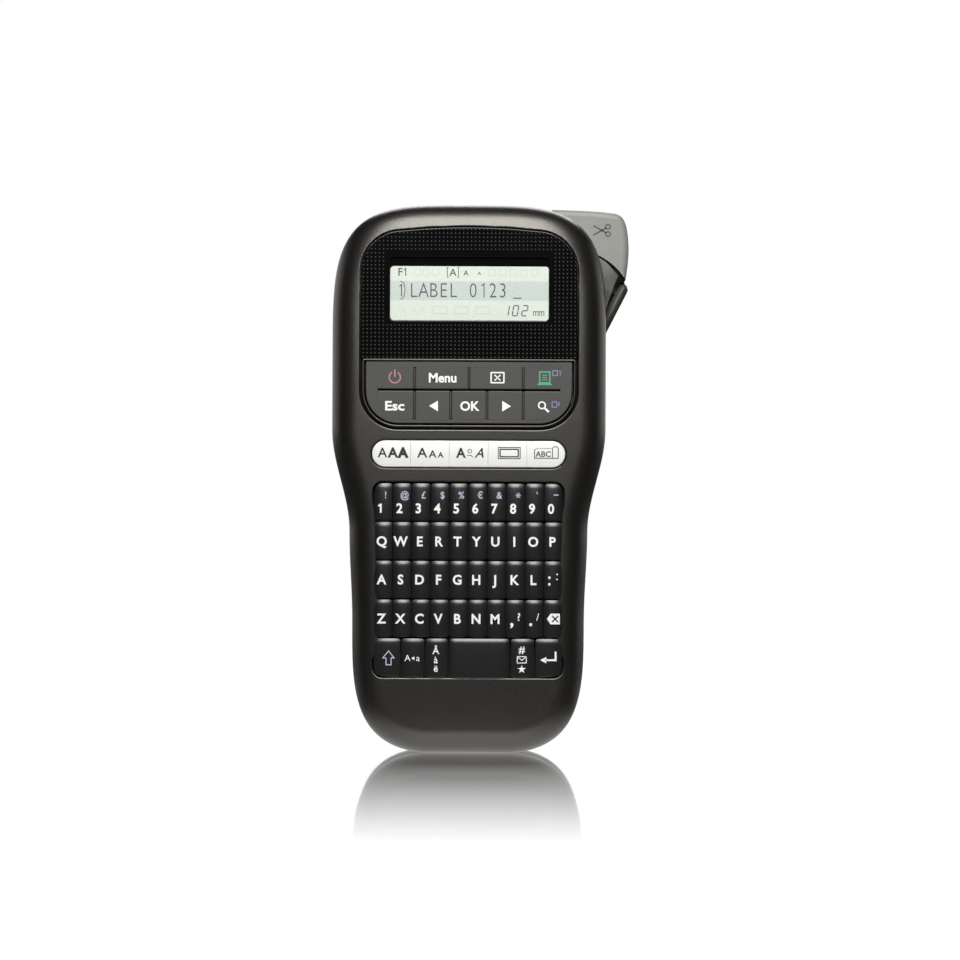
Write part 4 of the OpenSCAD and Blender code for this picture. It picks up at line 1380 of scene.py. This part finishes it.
def pad_bead():
    """A narrow raised line around the pad."""
    lip = [(x, min(z, panel_low.z - 0.42)) for x, z in pad_outline(0.85)]
    hole = grown(lip, -0.36)
    bead = prism(grown(lip, 0.36), PAD_FRONT - 0.3, RECESS_Y + 0.6, holes=[hole], edge=0.3, steps=5)
    bead.build("pad_bead", "shell")


def pad_ridges():
    """Narrow ridges that stand in the grooves between the keys of one row, lighter than the pad: a painted
    highlight line in each groove.
    """
    middle = escape_high.z + 0.3
    spans = ((middle + 0.6, FIELD[3] - 0.3), (FIELD[2] + 0.3, middle - 0.6))
    ridges = Solid()
    for row, (low, high) in zip((UPPER_PAD, LOWER_PAD), spans):
        for node in row[:-1]:
            x = node_box(node)[1].x + HALF_GAP
            bar = rounded_box(x - 0.2, x + 0.2, low, high, 0.1)
            ridges.plate(bar, PAD_FRONT + 0.02, PAD_BACK, edge=0.1, steps=2)
    ridges.build("pad_ridges", "ridge_painted_highlight")


def pad_keys():
    x0, x1, z0, z1 = FIELD
    split = (power_low.z + escape_high.z) / 2
    rows = (
        (UPPER_PAD, split + GROOVE, z1 - HAIRLINE, SLOPE, 0),
        (LOWER_PAD, z0 + HAIRLINE, split - GROOVE, 0, SLOPE),
    )
    for row, bottom, top, bottom_slope, top_slope in rows:
        last = len(row) - 1
        for k, node in enumerate(row):
            low, high = node_box(node)
            left = x0 + HAIRLINE if k == 0 else low.x - HALF_GAP + GROOVE
            right = x1 - HAIRLINE if k == last else high.x + HALF_GAP - GROOVE
            br = FIELD_R - HAIRLINE if node == "key_preview" else 0.3
            bl = FIELD_R - HAIRLINE if node == "key_escape" else 0.3
            radii = (br, 0.3, 0.3, bl)
            outline = rounded_box(left, right, bottom, top, radii, 8)
            inner = rounded_box(
                left + (SLOPE if k else 0), right - (SLOPE if k < last else 0),
                bottom + bottom_slope, top - top_slope, radii, 8,
            )
            key = Solid()
            rings = [key.loop(outline, PAD_BACK), key.loop(outline, PAD_FRONT + SLOPE_DEEP)]
            rings.append(key.loop(inner, PAD_FRONT))
            key.bridges(rings)
            key.fill(rings[-1])
            key.fill(rings[0], turned=True)
            key.build(f"{node}_cap", "pad_rubber", node, [node], angle=PAD_ANGLE)


def word(text, wide=0.98):
    return lambda m, x, z: m.text(text, x, z, 3.3, 0.028, wide)


def triangle(side):
    """An arrow head that points left for side 1 and right for side -1."""
    return lambda m, x, z: m.shape(
        [(x - side * 1.6, z), (x + side * 1.7, z - side * 2.0), (x + side * 1.7, z + side * 2.0)]
    )


def power_mark(m, x, z):
    m.stroke(arc(x, z, 2.1, 120, 420, 22), 0.45)
    m.stroke([(x, z + 0.1), (x, z + 2.9)], 0.5)


def clear_mark(m, x, z):
    m.ring(rounded_box(x - 2.4, x + 2.4, z - 1.9, z + 1.9, 0.1), 0.5)
    for side in (-1, 1):
        m.stroke([(x - 1.1, z - side * 1.05), (x + 1.1, z + side * 1.05)], 0.45)


def print_mark(m, x, z):
    m.ring([(x - 1.9, z - 1.8), (x + 1.9, z - 1.8), (x + 1.9, z + 2.3), (x - 1.9, z + 2.3)], 0.5)
    m.shape([(x - 2.9, z - 2.6), (x + 2.9, z - 2.6), (x + 2.4, z - 2.06), (x - 2.4, z - 2.06)])
    for up in (-0.6, 0.25, 1.1):
        m.stroke([(x - 1.0, z + up), (x + 1.0, z + up)], 0.35)


def cut_mark(m, x, z):
    m.ring(rounded_box(x - 1.6, x + 0.2, z - 0.9, z + 0.9, 0.1), 0.35)
    m.stroke([(x + 0.8, z + 0.95), (x + 1.25, z + 0.1), (x + 1.7, z + 0.95)], 0.3)
    m.stroke([(x + 1.25, z + 0.2), (x + 1.25, z - 0.95)], 0.3)


def preview_mark(m, x, z):
    m.ring(circle(x, z, 1.25, 24), 0.5)
    m.stroke([(x + 0.95, z - 0.95), (x + 2.6, z - 2.5)], 0.75)


def page_mark(m, x, z):
    m.ring(rounded_box(x - 1.0, x + 0.8, z - 1.0, z + 1.0, 0.1), 0.35)
    m.shape([(x + 1.2, z + 0.2), (x + 2.0, z + 0.2), (x + 1.6, z - 0.6)])
    m.stroke([(x + 1.6, z + 1.0), (x + 1.6, z + 0.1)], 0.3)


PAD_MARKS = [       # node, end of the piece's name, ink, drawing and its middle
    ("key_power", "mark", "ink_pink", power_mark, -27.8, 141.6),
    ("key_text", "mark", "ink_white", word("Menu"), -9.9, 141.5),
    ("key_clear", "mark", "ink_white", clear_mark, 10.7, 141.6),
    ("key_print", "mark", "ink_green", print_mark, 28.4, 141.5),
    ("key_print", "cut_mark", "ink_blue", cut_mark, 33.0, 143.4),
    ("key_escape", "mark", "ink_white", word("Esc", 1.18), -27.9, 130.9),
    ("key_left", "mark", "ink_white", triangle(1), -13.3, 130.9),
    ("key_select", "mark", "ink_white", word("OK"), 0.2, 130.9),
    ("key_right", "mark", "ink_white", triangle(-1), 14.2, 130.9),
    ("key_preview", "mark", "ink_white", preview_mark, 27.4, 131.3),
    ("key_preview", "page_mark", "ink_blue", page_mark, 32.2, 131.6),
]


def function_pad():
    pad_frame()
    pad_bead()
    pad_ridges()
    pad_keys()
    for node, suffix, ink, draw, x, z in PAD_MARKS:
        marks = Marks(flat_at(PAD_FRONT))
        draw(marks, x, z)
        marks.build(f"{node}_{suffix}", ink, node)


# ---------------------------------------------------------------- style keys
STYLE_NODES = [f"style_key_{name}" for name in ("font", "size", "effect", "frame", "symbol")]
STYLE_HALF_GAP = 0.15       # in the CAD
STYLE_GAP = 0.03
STYLE_MARK_Z = 113.35
STYLE_LETTERS = [           # each key's letters: x, height, boldness, width and slant
    [(-32.3, 3.5, 0.012, 1.0, 0), (-28.4, 3.5, 0.036, 1.0, 0), (-24.6, 3.5, 0.056, 1.0, 0)],
    [(-17.4, 3.5, 0.014, 1.05, 0), (-13.5, 2.6, 0.02, 1.05, 0), (-10.5, 1.9, 0.028, 1.05, 0)],
    [(-2.9, 3.5, 0.03, 0.95, 0), (3.9, 3.5, 0.012, 0.95, 0.35)],
]


def style_keys():
    front, back = pill_left.y, pill_right.y
    _, _, z0, z1 = PILL
    for k, node in enumerate(STYLE_NODES):
        low, high = node_box(node)
        left = low.x if k == 0 else low.x - STYLE_HALF_GAP + STYLE_GAP / 2
        right = high.x if k == 4 else high.x + STYLE_HALF_GAP - STYLE_GAP / 2
        first = PILL_R if k == 0 else 0.12
        final = PILL_R if k == 4 else 0.12
        radii = (final, final, first, first)
        key = Solid()
        rings = [key.loop(rounded_box(left, right, z0, z1, radii, 10), back)]
        for inset, fall in ((0.0, 0.5), (0.08, 0.22), (0.25, 0.06), (0.5, 0.0)):
            at_left = inset if k == 0 else inset * 0.12
            at_right = inset if k == 4 else inset * 0.12
            smaller = tuple(max(0.1, r - inset) for r in radii)
            loop = rounded_box(left + at_left, right - at_right, z0 + inset, z1 - inset, smaller, 10)
            rings.append(key.loop(loop, front + fall))
        key.bridges(rings)
        key.fill(rings[-1])
        key.fill(rings[0], turned=True)
        key.build(f"{node}_cap", "style_white", node, [node])
    style_marks(flat_at(front))


def style_marks(on_pill):
    z = STYLE_MARK_Z
    marks = [Marks(on_pill) for _ in STYLE_NODES]
    for mark, row in zip(marks, STYLE_LETTERS):
        for x, size, bold, wide, slant in row:
            mark.text("A", x, z - 1.75 + size / 2, size, bold, wide, slant)
    effect, border, label = marks[2:]
    effect.ring(circle(0.4, 114.0, 0.7, 14), 0.26)
    effect.stroke([(-0.5, 112.4), (0.9, 112.4), (1.6, 111.7)], 0.26)
    border.ring(rounded_box(11.1, 19.3, z - 2.1, z + 2.1, 0.1), 0.34)
    border.ring(rounded_box(11.8, 18.6, z - 1.4, z + 1.4, 0.1), 0.5)
    label.stroke([(25.1, z + 1.5), (24.7, z + 1.1), (24.7, z - 1.9), (33.6, z - 1.9), (33.6, z + 1.7)], 0.32)
    label.stroke([(31.4, z - 1.7), (31.4, z + 1.2)], 0.32)
    for k in range(8):
        label.shape(circle(25.6 + 0.75 * k, z + 1.75, 0.22, 10))
    label.stroke(arc(32.5, z + 1.4, 1.1, 200, -20, 10), 0.3)
    label.text("ABC", 28.0, z - 0.35, 2.0, 0.02, 1.0)
    for node, mark in zip(STYLE_NODES, marks):
        mark.build(f"{node}_mark", "ink_black", node)


# ---------------------------------------------------------------- lever
ARM = [
    (34.2, 164.0, 4), (36.5, 161.9, 4), (41, 162.6, 4), (42.2, 167.2, 4), (44.4, 191.0, 2),
    (41.4, 195.4, 2), (35, 195.0, 2),
]
BLADE_HOLDER = [(21.6, 196.6), (24, 193.4), (34, 190.6), (38, 191), (38, 199), (34, 200.2), (22.6, 199.6)]
BLADE_CLAMP = [(21.6, 196.6), (24, 193.4), (29.6, 191.9), (29.6, 199.4), (22.6, 199.4)]
PIN_HOLE_R = 1.56


def lever():
    """The finger plate, the arm down to the pin, and what holds the blade at the arm's other end."""
    s = Solid()
    front, back = LEVER_Y
    outline, shares = lever_plate()
    s.plate(outline, front, back, edge=2.2, back_edge=0.9, steps=7, shares=shares)
    s.plate(softened(ARM, 2.0), 12.0, back - 0.3, [circle(*PIVOT, PIN_HOLE_R, 24)], edge=0.3, back_edge=0.3)
    s.plate(softened(BLADE_HOLDER, 0.4), 12.2, back - 0.2)
    s.plate(softened(BLADE_CLAMP, 0.4), 12.4, lever_high.y)
    s.build("lever_body", "lever_grey", "lever", ["cutter_lever"])
    scissors(Marks(flat_at(front)))


def scissors(marks):
    """A pair of open scissors: two ring grips at the right, two blades to the left, drawn as dark flat strips
    that are the painted shade of the icon's relief on the lever.
    """
    x, z, size = 49.9, 198.3, 1.15
    for side in (-1, 1):
        marks.ring(circle(x + 2.3 * size, z + side * 1.2 * size, 0.75 * size, 20), 0.52)
        marks.stroke([(x + 1.7 * size, z + side * 0.8 * size), (x - 2.6 * size, z - side * 1.6 * size)], 0.55)
    marks.build("lever_scissors", "lever_icon_painted_shade", "lever")


# ---------------------------------------------------------------- what stays as the CAD has it
def dress_cad_nodes():
    """Each node still shown gets the material of its slot."""
    for part in frame["record"]["subparts"]:
        node = frame["nodes"][part["node"]]
        if node.hide_render:
            continue
        material = materials[part["material_slot"]]
        if not node.material_slots:
            node.data.materials.append(material)
        for slot in node.material_slots:
            slot.material = material


# ---------------------------------------------------------------- stage, light and camera
def area_light(name, place, aim, size, power):
    data = bpy.data.lights.new(name, "AREA")
    data.shape = "RECTANGLE"
    data.size, data.size_y = size
    data.energy = power
    obj = bpy.data.objects.new(name, data)
    obj.location = place
    obj.rotation_euler = (Vector(aim) - Vector(place)).to_track_quat("-Z", "Y").to_euler()
    obj.visible_camera = False
    bpy.context.scene.collection.objects.link(obj)


# Distances from the origin, in metres, where an effect of the floor is full and where it has faded.
SHINE = (0.06, 0.33)        # the mirror image
GLOW = (0.035, 0.08)        # the light that the floor gives the object
GLOW_LEVELS = (1.15, 0.03)  # its strength there


def floor_material():
    """White, with a mirror-like sheen at low angles that fades out around the object."""
    material = surface("floor", grey(0.04), grey(0.05), (0.8, 0.9), grain=300.0, bump=0.0)
    tree = material.node_tree
    plain = tree.nodes["Principled BSDF"]
    plain.inputs["Emission Color"].default_value = (1, 1, 1, 1)
    plain.inputs["Specular IOR Level"].default_value = 0.0
    place = add(tree, "ShaderNodeTexCoord").outputs["Object"]
    away = add(tree, "ShaderNodeVectorMath", {0: place}, operation="LENGTH").outputs["Value"]

    seen = add(tree, "ShaderNodeLightPath").outputs["Is Camera Ray"]
    light = math_node(tree, "MAXIMUM", ramp(tree, away, GLOW, GLOW_LEVELS), seen)
    tree.links.new(light, plain.inputs["Emission Strength"])
    gloss = add(tree, "ShaderNodeBsdfGlossy", {"Color": (1, 1, 1, 1), "Roughness": 0.04})
    grazing = add(tree, "ShaderNodeFresnel", {"IOR": 1.2}).outputs[0]
    strong = math_node(tree, "MULTIPLY", grazing, 2.1)
    strong.node.use_clamp = True
    share = math_node(tree, "MULTIPLY", strong, ramp(tree, away, SHINE, (1.0, 0.0)))
    mix = add(tree, "ShaderNodeMixShader", {0: share, 1: plain.outputs[0], 2: gloss.outputs[0]})
    tree.links.new(mix.outputs[0], tree.nodes["Material Output"].inputs[0])
    return material


# How far back and how high up a direction of the room has to point to be bright, and the dark rest.
BRIGHT_BACK = (-0.08, 0.35)
BRIGHT_UP = (0.45, 0.15)
ROOM_LEVEL = 0.014
FLOOR_REACH = 3.0


def studio():
    """A dark room, bright low down behind the object, with a large soft box high in front."""
    world = bpy.data.worlds.new("studio")
    bpy.context.scene.world = world
    world.use_nodes = True
    tree = world.node_tree
    way = add(tree, "ShaderNodeTexCoord").outputs["Generated"]
    split = add(tree, "ShaderNodeSeparateXYZ", {0: way})
    back = ramp(tree, split.outputs[1], BRIGHT_BACK)
    behind = math_node(tree, "MULTIPLY", back, ramp(tree, split.outputs[2], BRIGHT_UP))
    seen = add(tree, "ShaderNodeLightPath").outputs["Is Camera Ray"]
    level = math_node(tree, "MAXIMUM", math_node(tree, "MAXIMUM", behind, ROOM_LEVEL), seen)
    background = tree.nodes["Background"]
    tree.links.new(level, background.inputs["Strength"])
    background.inputs["Color"].default_value = (1, 1, 1, 1)

    area_light("key_box", place=(0.0, -0.42, 0.5125), aim=(0, -0.02, 0.21), size=(0.32, 0.6), power=5.4)
    area_light("back_box", place=(0.1, 0.9, 0.8), aim=(0, 0, 0.12), size=(0.8, 0.4), power=4)

    mesh = bpy.data.meshes.new("floor")
    corners = [(x * FLOOR_REACH, y * FLOOR_REACH, 0) for x, y in ((-1, -1), (1, -1), (1, 1), (-1, 1))]
    mesh.from_pydata(corners, [], [(0, 1, 2, 3)])
    mesh.materials.append(floor_material())
    floor = bpy.data.objects.new("floor", mesh)
    bpy.context.scene.collection.objects.link(floor)


CAMERA_AWAY = 1.2
CAMERA_X = 0.0043
CAMERA_Z = 0.1032
CAMERA_LENS = 120
CAMERA_ROLL = 0.25


def camera():
    data = bpy.data.cameras.new("camera")
    data.lens = CAMERA_LENS
    data.sensor_width = 36
    obj = bpy.data.objects.new("camera", data)
    obj.location = (CAMERA_X, FACE_Y * MM - CAMERA_AWAY, CAMERA_Z)
    obj.rotation_euler = (math.radians(90), math.radians(-CAMERA_ROLL), 0)
    bpy.context.scene.collection.objects.link(obj)
    bpy.context.scene.camera = obj
    bpy.context.scene.view_settings.view_transform = "Standard"


camera()
studio()
front_shell()
rear_shell()
back_cover()
display()
letter_rows()
bottom_row()
function_pad()
style_keys()
lever()
dress_cad_nodes()
